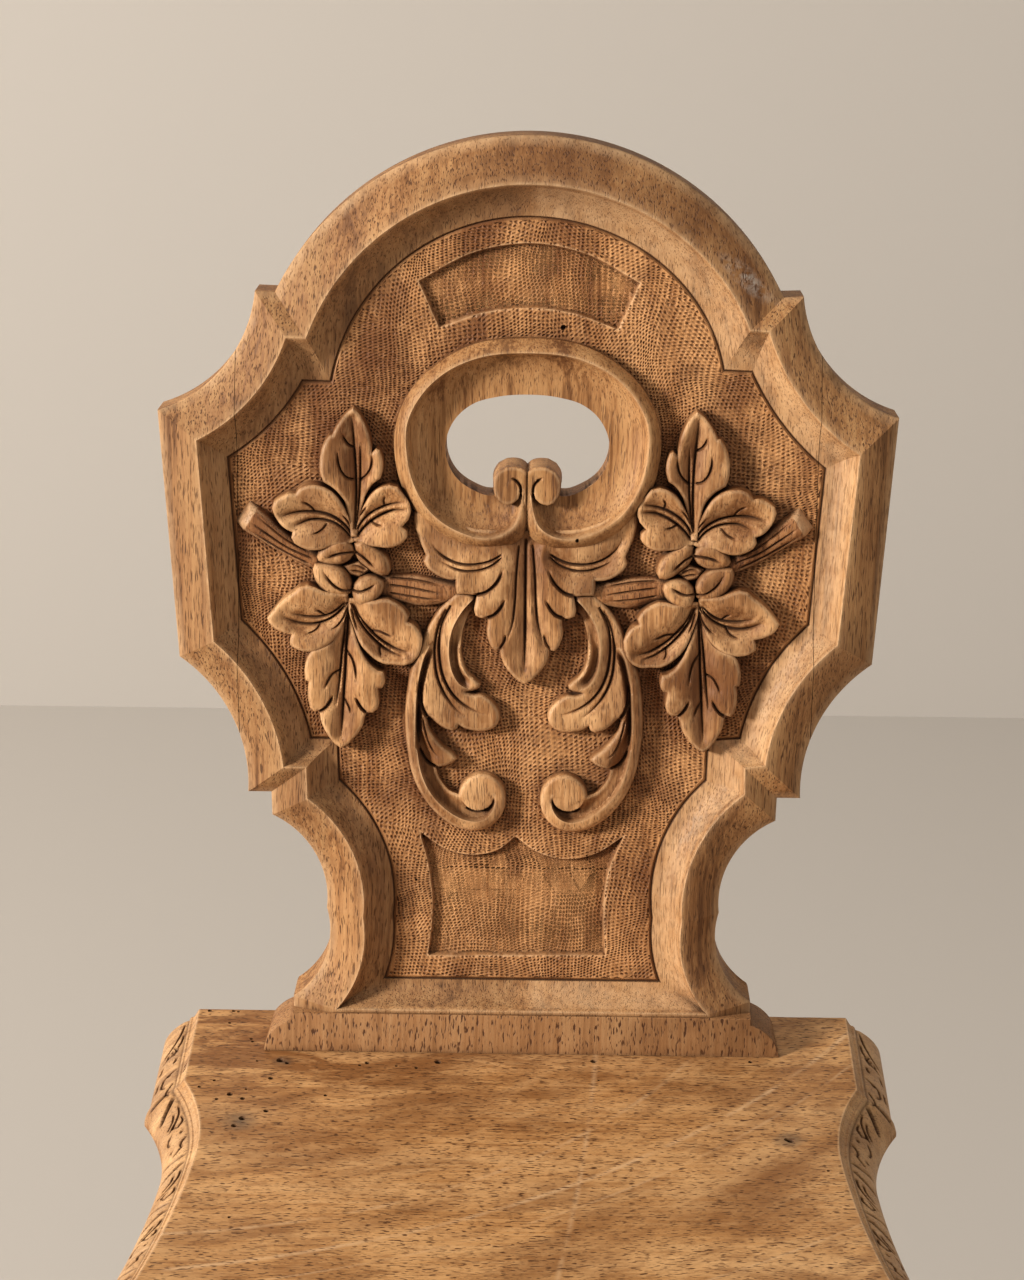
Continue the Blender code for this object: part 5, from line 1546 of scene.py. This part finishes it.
def makePlinth():
    wide, high = plinthShape["halfWidth"], plinthShape["height"]
    roundWide, roundHigh = plinthShape["round"]
    inner = wide - roundWide
    rounded = [(inner + across * roundWide, up * roundHigh) for across, up in plinthShape["roundPlaces"]]
    rounded = [(inner + 1.2, roundHigh - 0.1), *rounded, (wide - 0.4, 1.5), (wide, 0.0)]
    half = [(inner, high), (inner, roundHigh)] + smoothLine(rounded, 1.6)
    bm = bmesh.new()
    face = bm.faces.new(loopVerts(bm, half + [(-u, v) for u, v in reversed(half)], 0.0))
    grown = bmesh.ops.extrude_face_region(bm, geom=[face])["geom"]
    bmesh.ops.translate(bm, verts=vertsIn(grown), vec=(0.0, -plinthShape["depth"] * mm, 0.0))
    bmesh.ops.recalc_face_normals(bm, faces=bm.faces[:])
    front = board["ridgeDepth"] - plinthShape["depth"] * mm
    edges = [e for e in bm.edges if all(abs(v.co.y - front) < 1e-6 and v.co.z > 0.0005 for v in e.verts)]
    bmesh.ops.bevel(bm, geom=edges, offset=plinthShape["bevel"] * mm, segments=2, **edgeBevel)
    long, hidden = tenonShape["length"], tenonShape["hidden"]
    rear, fore = tenonShape["rear"], tenonShape["front"]
    for side in (-1.0, 1.0):
        verts = bmesh.ops.create_cube(bm, size=1.0)["verts"]
        size = (2 * tenonShape["halfWidth"] * mm, (fore - rear) * mm, (long + hidden) * mm)
        bmesh.ops.scale(bm, verts=verts, vec=size)
        middle = boardSpot(side * tenonShape["place"], (hidden - long) / 2.0, (rear + fore) / 2.0)
        bmesh.ops.translate(bm, verts=verts, vec=middle)
    bmesh.ops.recalc_face_normals(bm, faces=bm.faces[:])
    return bm


finishPiece("plinth", makePlinth(), plinthWood, ["back_board"], matrix=boardMatrix)

# Seat. Places are in mm from the plinth's front foot, across and toward the rear; heights are from the top

seatShape = {
    "halfWidth": 214.0,
    "front": 345.0,
    "rear": 41.0,
    "thickness": 32.0,
    "chamfer": 5.0,
    "underInset": 8.0,
    "edgeWidth": 19.9,
    "rearSide": (0.9040, 0.0800),
    "cusp": (0.9110, -0.0970),
    "scoop": (0.8600, -0.1750),
    "waist": (0.8420, -0.2840),
    "flare": (0.8860, -0.5000),
    "frontSide": (1.0000, -0.7600),
    "corner": (0.9680, -0.8620),
    "frontEnd": (0.8200, -0.9250),
    # How far in from the edge, and how high: the ovolo, a quirk, the thin bead and the slope up to the top
    "profile": [
        (0.0, -24.5), (0.5, -21.8), (1.3, -19.5), (2.6, -17.0), (4.2, -14.8), (6.2, -12.6), (8.4, -10.7),
        (10.6, -9.1), (12.4, -8.0), (13.7, -7.5), (14.3, -7.6), (14.8, -6.2), (15.3, -5.2), (15.9, -4.9),
        (16.5, -5.0), (17.2, -4.6), (18.2, -3.1), (19.2, -1.2), (19.9, -0.15), (20.8, 0.0),
    ],
    # Where the mesh has lines along the edge, as far in from it: crisp ones, and the rest
    "crisp": (1.3, 13.9, 15.9, 19.9),
    "fine": (
        0.5, 2.3, 3.3, 4.3, 5.3, 6.3, 7.3, 8.3, 9.3, 10.3, 11.3, 12.3, 13.1, 14.4, 15.0, 16.7, 17.5, 18.3,
        19.1, 21.0,
    ),
    # The quirk's place and reach in mm, and how dark it is painted: dirt and painted shade in the groove
    "quirk": (14.3, 0.9, 0.75),
    "unevenness": ((0.30, 60.0, 21.0, 20.0, 15.0), (0.16, 14.0, 23.0, 0.0, 4.0)),
    # The hollow where people sit: place and reach across and toward the rear, depth
    "hollow": ((0.0, -170.0), (105.0, 95.0), 0.9),
    "strokePitch": 97.0,
    "strokeDepth": 1.4,
    "grooveTop": 33.0,
    "grooveNeck": 28.0,
    "grooveDepth": 11.0,
    "battenOffset": 95.0,
    "battenFront": 292.0,
}
# Strokes in the edge band: width, depth, and places along the edge (from the cusp to the front) and inward
bandStrokes = [
    (1.3, 1.5, [(3.0, 13.2), (3.6, 8.0), (3.0, 2.4)]),
    (1.5, 1.7, [(9.0, 13.4), (13.0, 9.0), (19.0, 3.2)]),
    (0.8, 0.9, [(17.0, 13.2), (22.0, 12.2), (27.0, 9.2), (31.0, 5.4)]),
    (0.8, 0.9, [(20.5, 9.8), (25.0, 8.0), (28.6, 4.8)]),
    (0.8, 1.0, [(25.0, 12.8), (29.0, 12.6), (32.0, 9.6), (30.0, 7.2), (27.4, 8.8)]),
    (1.1, 1.2, [(36.5, 11.4), (37.9, 10.4)]),
    (0.8, 0.9, [(34.0, 6.0), (38.0, 3.8), (42.0, 4.4)]),
    (0.9, 1.0, [(43.0, 13.0), (47.0, 10.0), (50.0, 10.6), (54.0, 6.4)]),
    (1.0, 1.2, [(48.0, 5.8), (49.4, 4.8)]),
    (1.3, 1.4, [(58.0, 13.2), (59.0, 8.0), (58.6, 2.6)]),
    (1.4, 1.5, [(64.0, 13.2), (68.0, 8.6), (73.0, 3.0)]),
    (0.8, 0.9, [(71.0, 13.0), (78.0, 12.4), (85.0, 9.4), (90.0, 4.6)]),
    (0.8, 0.9, [(74.0, 9.8), (80.0, 9.0), (85.0, 6.0)]),
    (0.8, 1.0, [(86.0, 13.0), (91.0, 12.6), (94.4, 9.2), (91.6, 7.0), (88.6, 9.4)]),
]
rearStrokes = [
    (0.8, 1.0, [(-72.0, 12.6), (-62.0, 11.0), (-53.0, 8.0), (-46.0, 3.6)]),
    (0.8, 0.9, [(-60.0, 13.2), (-52.0, 12.2), (-45.0, 8.6), (-41.0, 4.0)]),
    (0.9, 1.1, [(-51.0, 9.0), (-47.0, 11.2), (-43.4, 9.6), (-43.0, 6.6), (-46.6, 6.2)]),
    (1.1, 1.2, [(-47.6, 8.6), (-46.6, 8.2)]),
    (1.0, 1.0, [(-38.0, 11.8), (-34.0, 10.6)]),
    (0.8, 0.9, [(-37.0, 4.2), (-32.0, 3.4)]),
    (1.1, 1.2, [(-23.0, 9.6), (-21.8, 9.2)]),
    (0.9, 1.0, [(-26.0, 12.8), (-21.0, 6.6), (-14.0, 6.4), (-11.0, 8.4)]),
    (0.9, 1.0, [(-22.0, 3.6), (-15.0, 3.0)]),
    (0.8, 0.8, [(-12.0, 12.6), (-6.0, 10.4), (-3.0, 12.8)]),
]
# Worm holes in the seat: across, toward the rear, radius
seatHoles = [
    (-167.7, 39.5, 1.1), (-154.8, 39.5, 1.0), (-152.2, 38.8, 0.8), (-155.7, 26.8, 0.9),
    (-142.7, 10.6, 0.9), (-141.8, 8.0, 0.9), (-175.0, -12.3, 1.0), (-175.2, -16.4, 0.9),
    (-137.6, -11.7, 0.8), (-125.7, -10.7, 2.0), (-121.9, -13.3, 1.2), (-83.9, -14.5, 0.9),
    (-80.2, -12.0, 1.3), (-64.8, -14.9, 0.8), (-54.3, -16.4, 1.0), (-43.3, -10.4, 1.8),
    (-158.0, -31.5, 0.9), (-165.1, -37.8, 1.0), (-148.7, -44.9, 1.6), (-140.9, -39.6, 0.8),
    (-141.8, -48.9, 1.3), (-155.1, -49.5, 1.0), (-129.1, -28.7, 1.4), (-120.5, -30.9, 0.7),
    (-99.7, -44.3, 1.0), (-128.8, -60.1, 1.4), (-140.3, -67.6, 1.8), (-143.8, -74.5, 1.5),
    (-138.3, -155.9, 0.8), (38.0, -7.5, 1.6), (120.0, -5.9, 1.2), (40.5, -25.9, 0.7), (136.2, -81.1, 2.0),
    (134.4, -80.3, 1.4), (153.1, -108.2, 0.8),
]


def seatSpot(key):
    return Vector((seatShape[key][0] * seatShape["halfWidth"], seatShape[key][1] * seatShape["front"]))


def seatHalf():
    # The right half of the outline, from the middle of the rear to the middle of the front
    rear, cusp, tip = seatSpot("rearSide"), seatSpot("cusp"), Vector((0.0, -seatShape["front"]))
    over = seatShape["rear"] + seatShape["edgeWidth"] + 2.0
    places = [(0.0, over), (rear.x, over), (rear.x, cusp.y + seatShape["edgeWidth"] / 3.0), tuple(cusp)]
    half = smoothLine(places, 1.0, bend=1.0)
    for start, through, end, parts in (
        ("cusp", "scoop", "waist", 44),
        ("waist", "flare", "frontSide", 168),
        ("frontSide", "corner", "frontEnd", 48),
    ):
        middle = circleThrough(seatSpot(start), seatSpot(through), seatSpot(end))[0]
        half += [tuple(p) for p in arcAbout(middle, seatSpot(start), seatSpot(end), parts)]
    end = seatSpot("frontEnd")
    middle = circleThrough(end, tip, Vector((-end.x, end.y)))[0]
    half += [tuple(p) for p in arcAbout(middle, end, tip, 170)]
    return [(min(u, seatShape["halfWidth"] - 0.02), v) for u, v in half]


def insetLoop(loop, amount):
    # The loop moved inward, without the places that fold over
    places = np.array(loop)
    moved = places + sideways(np.roll(places, -1, 0) - np.roll(places, 1, 0)) * amount
    good = nearest(moved, loop, True)[0] > amount - 0.03
    return [tuple(p) for p in moved[good]]


def seatHeightAt(places, loop, strokes):
    # The height of the seat's top at each place, how dark it is there, and how far from the edge
    edge = nearest(places, loop, True)[0]
    height = np.interp(edge, *zip(*seatShape["profile"]))
    for amount, size, seed, start, reach in seatShape["unevenness"]:
        height += amount * rough(places, size, seed) * np.clip((edge - start) / reach, 0.0, 1.0)
    middle, reach, depth = seatShape["hollow"]
    off = (places - middle) / reach
    height -= depth * np.exp(-(off[:, 0] ** 2 + off[:, 1] ** 2) * 1.3)
    dirtAndShadeMask = np.zeros(len(places))
    # Strokes and worm holes are painted dark: dirt and painted shade in the cuts
    for width, depth, line in strokes:
        rows = np.flatnonzero((np.abs(places - np.mean(line, 0)) < 16.0).all(1))
        if len(rows):
            gap, share = nearest(places[rows], line)
            ends = np.clip(np.minimum(share, 1.0 - share) * 7.0 + 0.35, 0.0, 1.0)
            cut = np.clip(1.0 - gap / (width * 1.1), 0.0, 1.0) * ends
            height[rows] -= seatShape["strokeDepth"] * depth * cut
            dirtAndShadeMask[rows] = np.maximum(dirtAndShadeMask[rows], np.clip(cut * 1.5, 0.0, 1.0))
    height, dirtAndShadeMask = bored(places, seatHoles, height, dirtAndShadeMask)
    return height, dirtAndShadeMask, edge


def bandLines(half):
    # The strokes of the edge band, laid along both sides of the seat
    places = np.array(half)
    along = np.concatenate([[0.0], np.cumsum(np.linalg.norm(np.diff(places, axis=0), axis=1))])
    cuspAt = along[int(np.argmin([math.dist(p, tuple(seatSpot("cusp"))) for p in half]))]

    def at(far):
        return [np.interp(far, along, places[:, k]) for k in (0, 1)]

    def bandSpot(far, inward):
        x, y = at(cuspAt + far)
        ahead, up = at(cuspAt + far + 1.0)
        way = Vector((ahead - x, up - y)).normalized()
        return (x + way.y * inward, y - way.x * inward)

    groups = [(0.0, rearStrokes)] + [(seatShape["strokePitch"] * i, bandStrokes) for i in range(5)]
    strokes = []
    for side in (1.0, -1.0):
        for start, group in groups:
            for width, depth, line in group:
                if cuspAt + start + line[-1][0] < along[-1] - 4.0:
                    spots = smoothLine([bandSpot(start + s, d) for s, d in line], 0.7)
                    strokes.append((width, depth, np.array([(side * x, y) for x, y in spots])))
    return strokes


def seatVerts(bm, places, heights):
    return [bm.verts.new((x * mm, y * mm, h * mm)) for (x, y), h in zip(places, heights)]


def makeSeat():
    bm, wearAndSheen, dirtAndShadeMask = shadedMesh()
    half = seatHalf()
    # The loop runs clockwise seen from above, so inward is on its right
    loop = half + [(-x, y) for x, y in reversed(half[1:-1])]
    strokes = bandLines(half)
    beside = []
    for width, depth, line in strokes:
        across = sideways(np.gradient(line, axis=0)) * width
        beside += [line, line + across, line - across]
    crisp = [insetLoop(loop, inset) for inset in seatShape["crisp"]]
    fine = [np.array(insetLoop(loop, inset)) for inset in seatShape["fine"]]
    wide = hexSeeds(loop, 5.0)
    wide = wide[nearest(wide, loop, True)[0] > 23.0]
    seeds = np.concatenate([holeSeeds(seatHoles), *beside, *fine, wide])
    spots, faces = triangles(loop, seeds, lines=[line + line[:1] for line in crisp], clear=0.33)[:2]
    height, dark, edge = seatHeightAt(spots, loop, strokes)
    top = seatVerts(bm, spots, height)
    # The quirk is painted dark, dirt and painted shade; the bead's crest and the band are worn pale
    place, reach, amount = seatShape["quirk"]
    for vert, value, gap in zip(top, dark, edge):
        vert[dirtAndShadeMask] = float(max(value, amount * np.clip(1.0 - abs(gap - place) / reach, 0.0, 1.0)))
        crest = np.clip(1.0 - abs(gap - seatShape["edgeWidth"]) / 1.1, 0.0, 1.0)
        vert[wearAndSheen] = float(max(crest, 0.6 * (gap < 19.0)) * (1.0 - value))
    for face in faces:
        bm.faces.new([top[i] for i in face])
    low = -seatShape["thickness"]
    rim = seatVerts(bm, loop, seatHeightAt(np.array(loop), loop, [])[0])
    side = seatVerts(bm, loop, [low + seatShape["chamfer"]] * len(loop))
    quads(bm, rim, side)
    foot = insetLoop(loop, seatShape["underInset"])
    base = bm.faces.new(seatVerts(bm, foot, [low] * len(foot)))
    edges = [bm.edges.get((side[i], side[(i + 1) % len(side)])) for i in range(len(side))]
    bmesh.ops.bridge_loops(bm, edges=edges + list(base.edges))
    joined(bm)
    cutAway(bm, (0.0, seatShape["rear"] * mm, 0.0), (0.0, 1.0, 0.0))
    return bm


# Marks on the seat, in metres: old scratches as arcs (centre, radius, half width, strength), knots (place,
# reach), and dark and pale patches (scales, detail, roughness, distortion, from, to, amount)
seatMarks = {
    "scratches": [
        ((-0.2559, 0.4164), 0.5115, 0.0022, 0.62), ((-0.2559, 0.4164), 0.5290, 0.0014, 0.35),
        ((-0.1994, 0.2719), 0.3308, 0.0020, 0.52), ((-1.8558, 0.1941), 1.8967, 0.0020, 0.42),
        ((-0.2300, 0.5000), 0.6700, 0.0014, 0.40),
    ],
    "knots": [((-0.1415, 0.0430), 0.010), ((0.1355, 0.0326), 0.009), ((-0.1240, 0.1015), 0.006)],
    "dark": [
        ((13.0, 30.0), 6.0, 0.70, 0.6, 0.49, 0.60, 0.50),
        ((90.0, 190.0), 4.0, 0.72, 0.4, 0.50, 0.64, 0.40),
    ],
    "pale": ((16.0, 34.0), 4.0, 0.60, 0.0, 0.54, 0.70, 0.45),
    "swept": (52.0, 4.0),
}


def seatStains(tree, own, grain, colour, look):
    # Brown stains and knots, broad clouds, and pale scratches that sweep to the right rear
    place = add(tree, "ShaderNodeMapping", {"Vector": objectPlace(tree), "Scale": (1.0, 1.0, 0.0)}).outputs[0]
    axes = add(tree, "ShaderNodeSeparateXYZ", {0: place}).outputs

    def cloud(scale, detail, roughness, distortion=0.0):
        long = add(tree, "ShaderNodeMapping", {"Vector": place, "Scale": (*scale, 1.0)}).outputs[0]
        return noised(tree, long, detail, roughness, distortion=distortion)

    def over(colour, share, amount, top):
        return mixed(tree, times(tree, share, amount), colour, top)

    def patched(colour, patch, top):
        *shape, low, high, amount = patch
        return over(colour, spread(tree, cloud(*shape), low, high), amount, top)

    def away(centre):
        return vectors(tree, "DISTANCE", place, (*centre, 0.0), "Value")

    for patch in seatMarks["dark"]:
        colour = patched(colour, patch, look["dark"])
    # Bands that sweep round the first scratch's centre
    centre = seatMarks["scratches"][0][0]
    rise = maths(tree, "SUBTRACT", axes["Y"], centre[1])
    run = maths(tree, "SUBTRACT", axes["X"], centre[0])
    across, along = seatMarks["swept"]
    swept = {
        "X": times(tree, away(centre), across), "Y": times(tree, maths(tree, "ARCTAN2", rise, run), along)
    }
    swept = noised(tree, add(tree, "ShaderNodeCombineXYZ", swept).outputs[0], 5.0, 0.62)
    colour = over(colour, spread(tree, swept, 0.50, 0.66), 0.55, look["dark"])
    colour = over(colour, spread(tree, swept, 0.46, 0.34), 0.40, look["pale"])
    colour = patched(colour, seatMarks["pale"], look["pale"])
    # The brown stain at the left rear
    toRear, toLeft = spread(tree, axes["Y"], 0.030, 0.090), spread(tree, axes["X"], 0.08, -0.10, 0.25, 1.0)
    stain = spread(tree, cloud((15.0, 62.0), 5.0, 0.66, 0.8), 0.44, 0.56)
    stain = times(tree, times(tree, toRear, toLeft), stain)
    colour = over(colour, stain, 0.90, look["dark"])
    broken = spread(tree, cloud((28.0, 28.0), 3.0, 0.6), 0.36, 0.58)
    for centre, radius, half, strength in seatMarks["scratches"]:
        off = maths(tree, "ABSOLUTE", maths(tree, "SUBTRACT", away(centre), radius))
        colour = over(colour, times(tree, spread(tree, off, half, 0.0), broken), strength, look["wearAndSheen"])
    for centre, reach in seatMarks["knots"]:
        off = maths(tree, "ADD", away(centre), times(tree, cloud((90.0, 260.0), 2.0, 0.6), reach))
        colour = over(colour, spread(tree, off, reach * 1.6, reach * 0.5), 0.75, look["knot"])
    return colour


acrossTurn, alongTurn = (0.0, math.radians(90.0), 0.0), (math.radians(90.0), 0.0, 0.0)
seatWood = woodMaterial(
    "walnutSeat", turn=acrossTurn, extra=seatStains,
    changes={
        **tones((0.74, 0.425, 0.185), (0.56, 0.275, 0.096), (0.23, 0.088, 0.025)),
        "knot": (0.070, 0.058, 0.045, 1.0), "stain": 0.50, "grainAcross": 40.0, "toneLow": 0.27,
        "toneHigh": 0.67, "poreScale": (1300.0, 260.0), "dirtAndShadeReach": 0.004, "roughness": 0.50,
        "patinaAndShade": 0.35, "pores": 0.95,
    }
)
underWood = woodMaterial("walnutBattens", turn=alongTurn, changes={"stain": 0.7, "roughness": 0.6})
wedgeWood = woodMaterial(
    "beechKeys", turn=alongTurn,
    changes={
        **tones((0.70, 0.47, 0.26), (0.60, 0.37, 0.19), (0.44, 0.25, 0.12)), "stain": 0.3, "pores": 0.4,
    }
)


def grooveCutter(side):
    # One dovetailed groove for a batten, open at the rear edge
    bm = bmesh.new()
    gap = board["glueGap"] / mm
    top, neck = seatShape["grooveTop"] + gap, seatShape["grooveNeck"] + gap
    low = -seatShape["thickness"]
    high = low + seatShape["grooveDepth"]
    half = [(neck, low - 2.0), (neck, low), (top, high)]
    section = [(-neck, low - 2.0), *half, (-top, high), (-neck, low)]
    verts = [
        bm.verts.new(((side * seatShape["battenOffset"] + x) * mm, -seatShape["battenFront"] * mm, z * mm))
        for x, z in section
    ]
    grown = bmesh.ops.extrude_face_region(bm, geom=[bm.faces.new(verts)])["geom"]
    long = (seatShape["battenFront"] + seatShape["rear"] + 2.0) * mm
    bmesh.ops.translate(bm, verts=vertsIn(grown), vec=(0.0, long, 0.0))
    bmesh.ops.transform(bm, matrix=seatMatrix, verts=bm.verts[:])
    bmesh.ops.recalc_face_normals(bm, faces=bm.faces[:])
    return placed("groove", meshOf("groove", bm))


def cutGrooves(piece):
    cutters = [grooveCutter(side) for side in (-1.0, 1.0)]
    for cutter in cutters:
        modifier = piece.modifiers.new("groove", "BOOLEAN")
        modifier.operation = "DIFFERENCE"
        modifier.solver = "EXACT"
        modifier.object = cutter
    bpy.context.view_layer.update()
    cut = bpy.data.meshes.new_from_object(piece.evaluated_get(bpy.context.evaluated_depsgraph_get()))
    piece.modifiers.clear()
    piece.data = cut
    for cutter in cutters:
        bpy.data.objects.remove(cutter, do_unlink=True)


seatPiece = finishPiece(
    "seat", makeSeat(), seatWood, ["seat_board"], sharp=40.0, matrix=seatMatrix
)
cutGrooves(seatPiece)
print("seat ready")


# Legs: eight sides, tapered, with worn arrises, cut off just under the batten

legShape = {
    "topWidth": 42.0,
    "footWidth": 27.0,
    "sides": 8,
    "over": 42.0,
    "offset": 95.0,
    "rearPlace": -56.0,
    "frontPlace": -245.0,
    "sideSplay": math.radians(14.0),
    "rearSplay": math.radians(13.0),
    "frontSplay": math.radians(-8.0),
    "battenFoot": board["seatHeight"] / mm - seatShape["thickness"] - 20.0,
    "bevel": 1.5,
    "rings": 24,
    "waver": (18.0, 0.0005, 0.0004),
}


def legAxis(side, end):
    rear = board["place"] + legShape[end + "Place"] * mm
    top = Vector((side * legShape["offset"] * mm, rear, legShape["battenFoot"] * mm))
    aside = side * math.tan(legShape["sideSplay"])
    return top, Vector((aside, math.tan(legShape[end + "Splay"]), -1.0)).normalized()


def makeLeg(side, end):
    top, down = legAxis(side, end)
    over, long = legShape["over"] * mm, legShape["battenFoot"] * mm / -down.z
    widen = mm / math.cos(math.pi / legShape["sides"]) / 2.0
    bm = bmesh.new()
    bmesh.ops.create_cone(
        bm, cap_ends=True, segments=legShape["sides"], radius1=widen * legShape["topWidth"],
        radius2=widen * legShape["footWidth"], depth=long + 2.0 * over
    )

    def longEdges():
        return [e for e in bm.edges if abs(e.verts[0].co.z - e.verts[1].co.z) > over]

    bmesh.ops.bevel(bm, geom=longEdges(), offset=legShape["bevel"] * mm, segments=3, **edgeBevel)
    bmesh.ops.subdivide_edges(bm, edges=longEdges(), cuts=legShape["rings"], use_grid_fill=True)
    scale, high, inward = legShape["waver"]
    shift = Vector((side * 3.0, legShape[end + "Place"], 0.0))
    for vert in bm.verts:
        waver = noise.noise(vert.co * scale + shift) * high
        vert.co += Vector((vert.co.x, vert.co.y, 0.0)).normalized() * (waver - inward)
    turn = Vector((0.0, 0.0, 1.0)).rotation_difference(down).to_matrix().to_4x4()
    spin = Matrix.Rotation(math.pi / legShape["sides"], 4, "Z")
    matrix = Matrix.Translation(top + down * long / 2.0) @ turn @ spin
    bmesh.ops.transform(bm, matrix=matrix, verts=bm.verts[:])
    cutAway(bm, (0.0, 0.0, legShape["battenFoot"] * mm - board["glueGap"]), (0.0, 0.0, 1.0))
    cutAway(bm, (0.0, 0.0, 0.0), (0.0, 0.0, -1.0))
    return bm


for end in ("front", "rear"):
    for side, hand in ((-1.0, "left"), (1.0, "right")):
        which = end.title() + hand.title()
        turn = Vector((0.0, 0.0, -1.0)).rotation_difference(legAxis(side, end)[1]).to_euler()
        legWood = woodMaterial("walnutLeg" + which, turn=tuple(turn), changes={"stain": 0.6})
        solid = "_".join(("leg", end, hand))
        finishPiece("leg" + which, makeLeg(side, end), legWood, [solid], sharp=50.0)

# The battens, keys and wedges are the solids themselves
for name, node in nodes.items():
    for start, material in (("batten", underWood), ("key", wedgeWood), ("leg_wedge", wedgeWood)):
        if name.startswith(start):
            node.data.materials[0] = material
print("underframe ready")


# Stage, light and camera

stage = {
    "floor": (0.56, 0.51, 0.455, 1.0),
    "backdrop": (0.53, 0.482, 0.430, 1.0),
    "backdropPlace": 1.5,
    "size": 6.0,
    "skyColour": (1.0, 0.96, 0.91, 1.0),
    "skyStrength": 0.092,
}


def stageMaterial(name, colour):
    material = bpy.data.materials.new(name)
    material.use_nodes = True
    tree = material.node_tree
    shader = tree.nodes["Principled BSDF"]
    shader.inputs["Base Color"].default_value = colour
    shader.inputs["Roughness"].default_value = 0.9
    # Seen from behind, the stage is clear
    behind = add(tree, "ShaderNodeNewGeometry").outputs["Backfacing"]
    clear = add(tree, "ShaderNodeBsdfTransparent").outputs[0]
    oneSided = add(tree, "ShaderNodeMixShader", {0: behind, 1: shader.outputs[0], 2: clear}).outputs[0]
    tree.links.new(oneSided, tree.nodes["Material Output"].inputs["Surface"])
    return material


def stagePlane(name, place, turn):
    bm = bmesh.new()
    bmesh.ops.create_grid(bm, x_segments=2, y_segments=2, size=stage["size"])
    matrix = Matrix.Translation(place) @ Matrix.Rotation(turn, 4, "X")
    bmesh.ops.transform(bm, matrix=matrix, verts=bm.verts[:])
    mesh = meshOf(name, bm)
    mesh.materials.append(stageMaterial(name, stage[name]))
    plane = placed(name, mesh)


stagePlane("floor", (0.0, 0.0, 0.0), 0.0)
stagePlane("backdrop", (0.0, stage["backdropPlace"], stage["size"] / 2.0), math.radians(90.0))

# Lamps: place, aim, size, power and colour
lamps = {
    "keyLamp": ((-3.79, -1.67, 2.20), (0.0, 0.1, 0.68), 0.85, 304.0, (1.0, 0.97, 0.92)),
    "fillLamp": ((3.0, -2.2, 1.6), (0.0, 0.1, 0.68), 2.0, 24.0, (1.0, 0.96, 0.90)),
    "overheadLamp": ((0.1, -0.7, 2.6), (0.0, -0.1, 0.3), 1.4, 9.0, (1.0, 0.985, 0.96)),
}
for name, (place, aim, size, power, colour) in lamps.items():
    lamp = bpy.data.lights.new(name, "AREA")
    lamp.shape = "DISK"
    lamp.size = size
    lamp.energy = power
    lamp.color = colour
    holder = placed(name, lamp)
    holder.location = place
    holder.rotation_euler = (Vector(aim) - Vector(place)).to_track_quat("-Z", "Y").to_euler()

world = bpy.data.worlds.new("studio")
world.use_nodes = True
sky = world.node_tree.nodes["Background"].inputs
sky["Color"].default_value = stage["skyColour"]
sky["Strength"].default_value = stage["skyStrength"]
bpy.context.scene.world = world
bpy.context.scene.view_settings.view_transform = "Standard"

# The photo's camera: place, and turns about Z, X and Z in degrees
cameraView = {
    "place": (0.0131, -1.3398, 1.3155),
    "turns": ((0.764, "Z"), (66.431, "X"), (0.40, "Z")),
    "lens": 90.0,
    "sensor": 36.0,
}
camera = placed("camera", bpy.data.cameras.new("camera"))
camera.data.lens = cameraView["lens"]
camera.data.sensor_width = cameraView["sensor"]
camera.data.clip_start = 0.05
view = Matrix.Translation(cameraView["place"])
for degrees, axis in cameraView["turns"]:
    view = view @ Matrix.Rotation(math.radians(degrees), 4, axis)
camera.matrix_world = view
bpy.context.scene.camera = camera
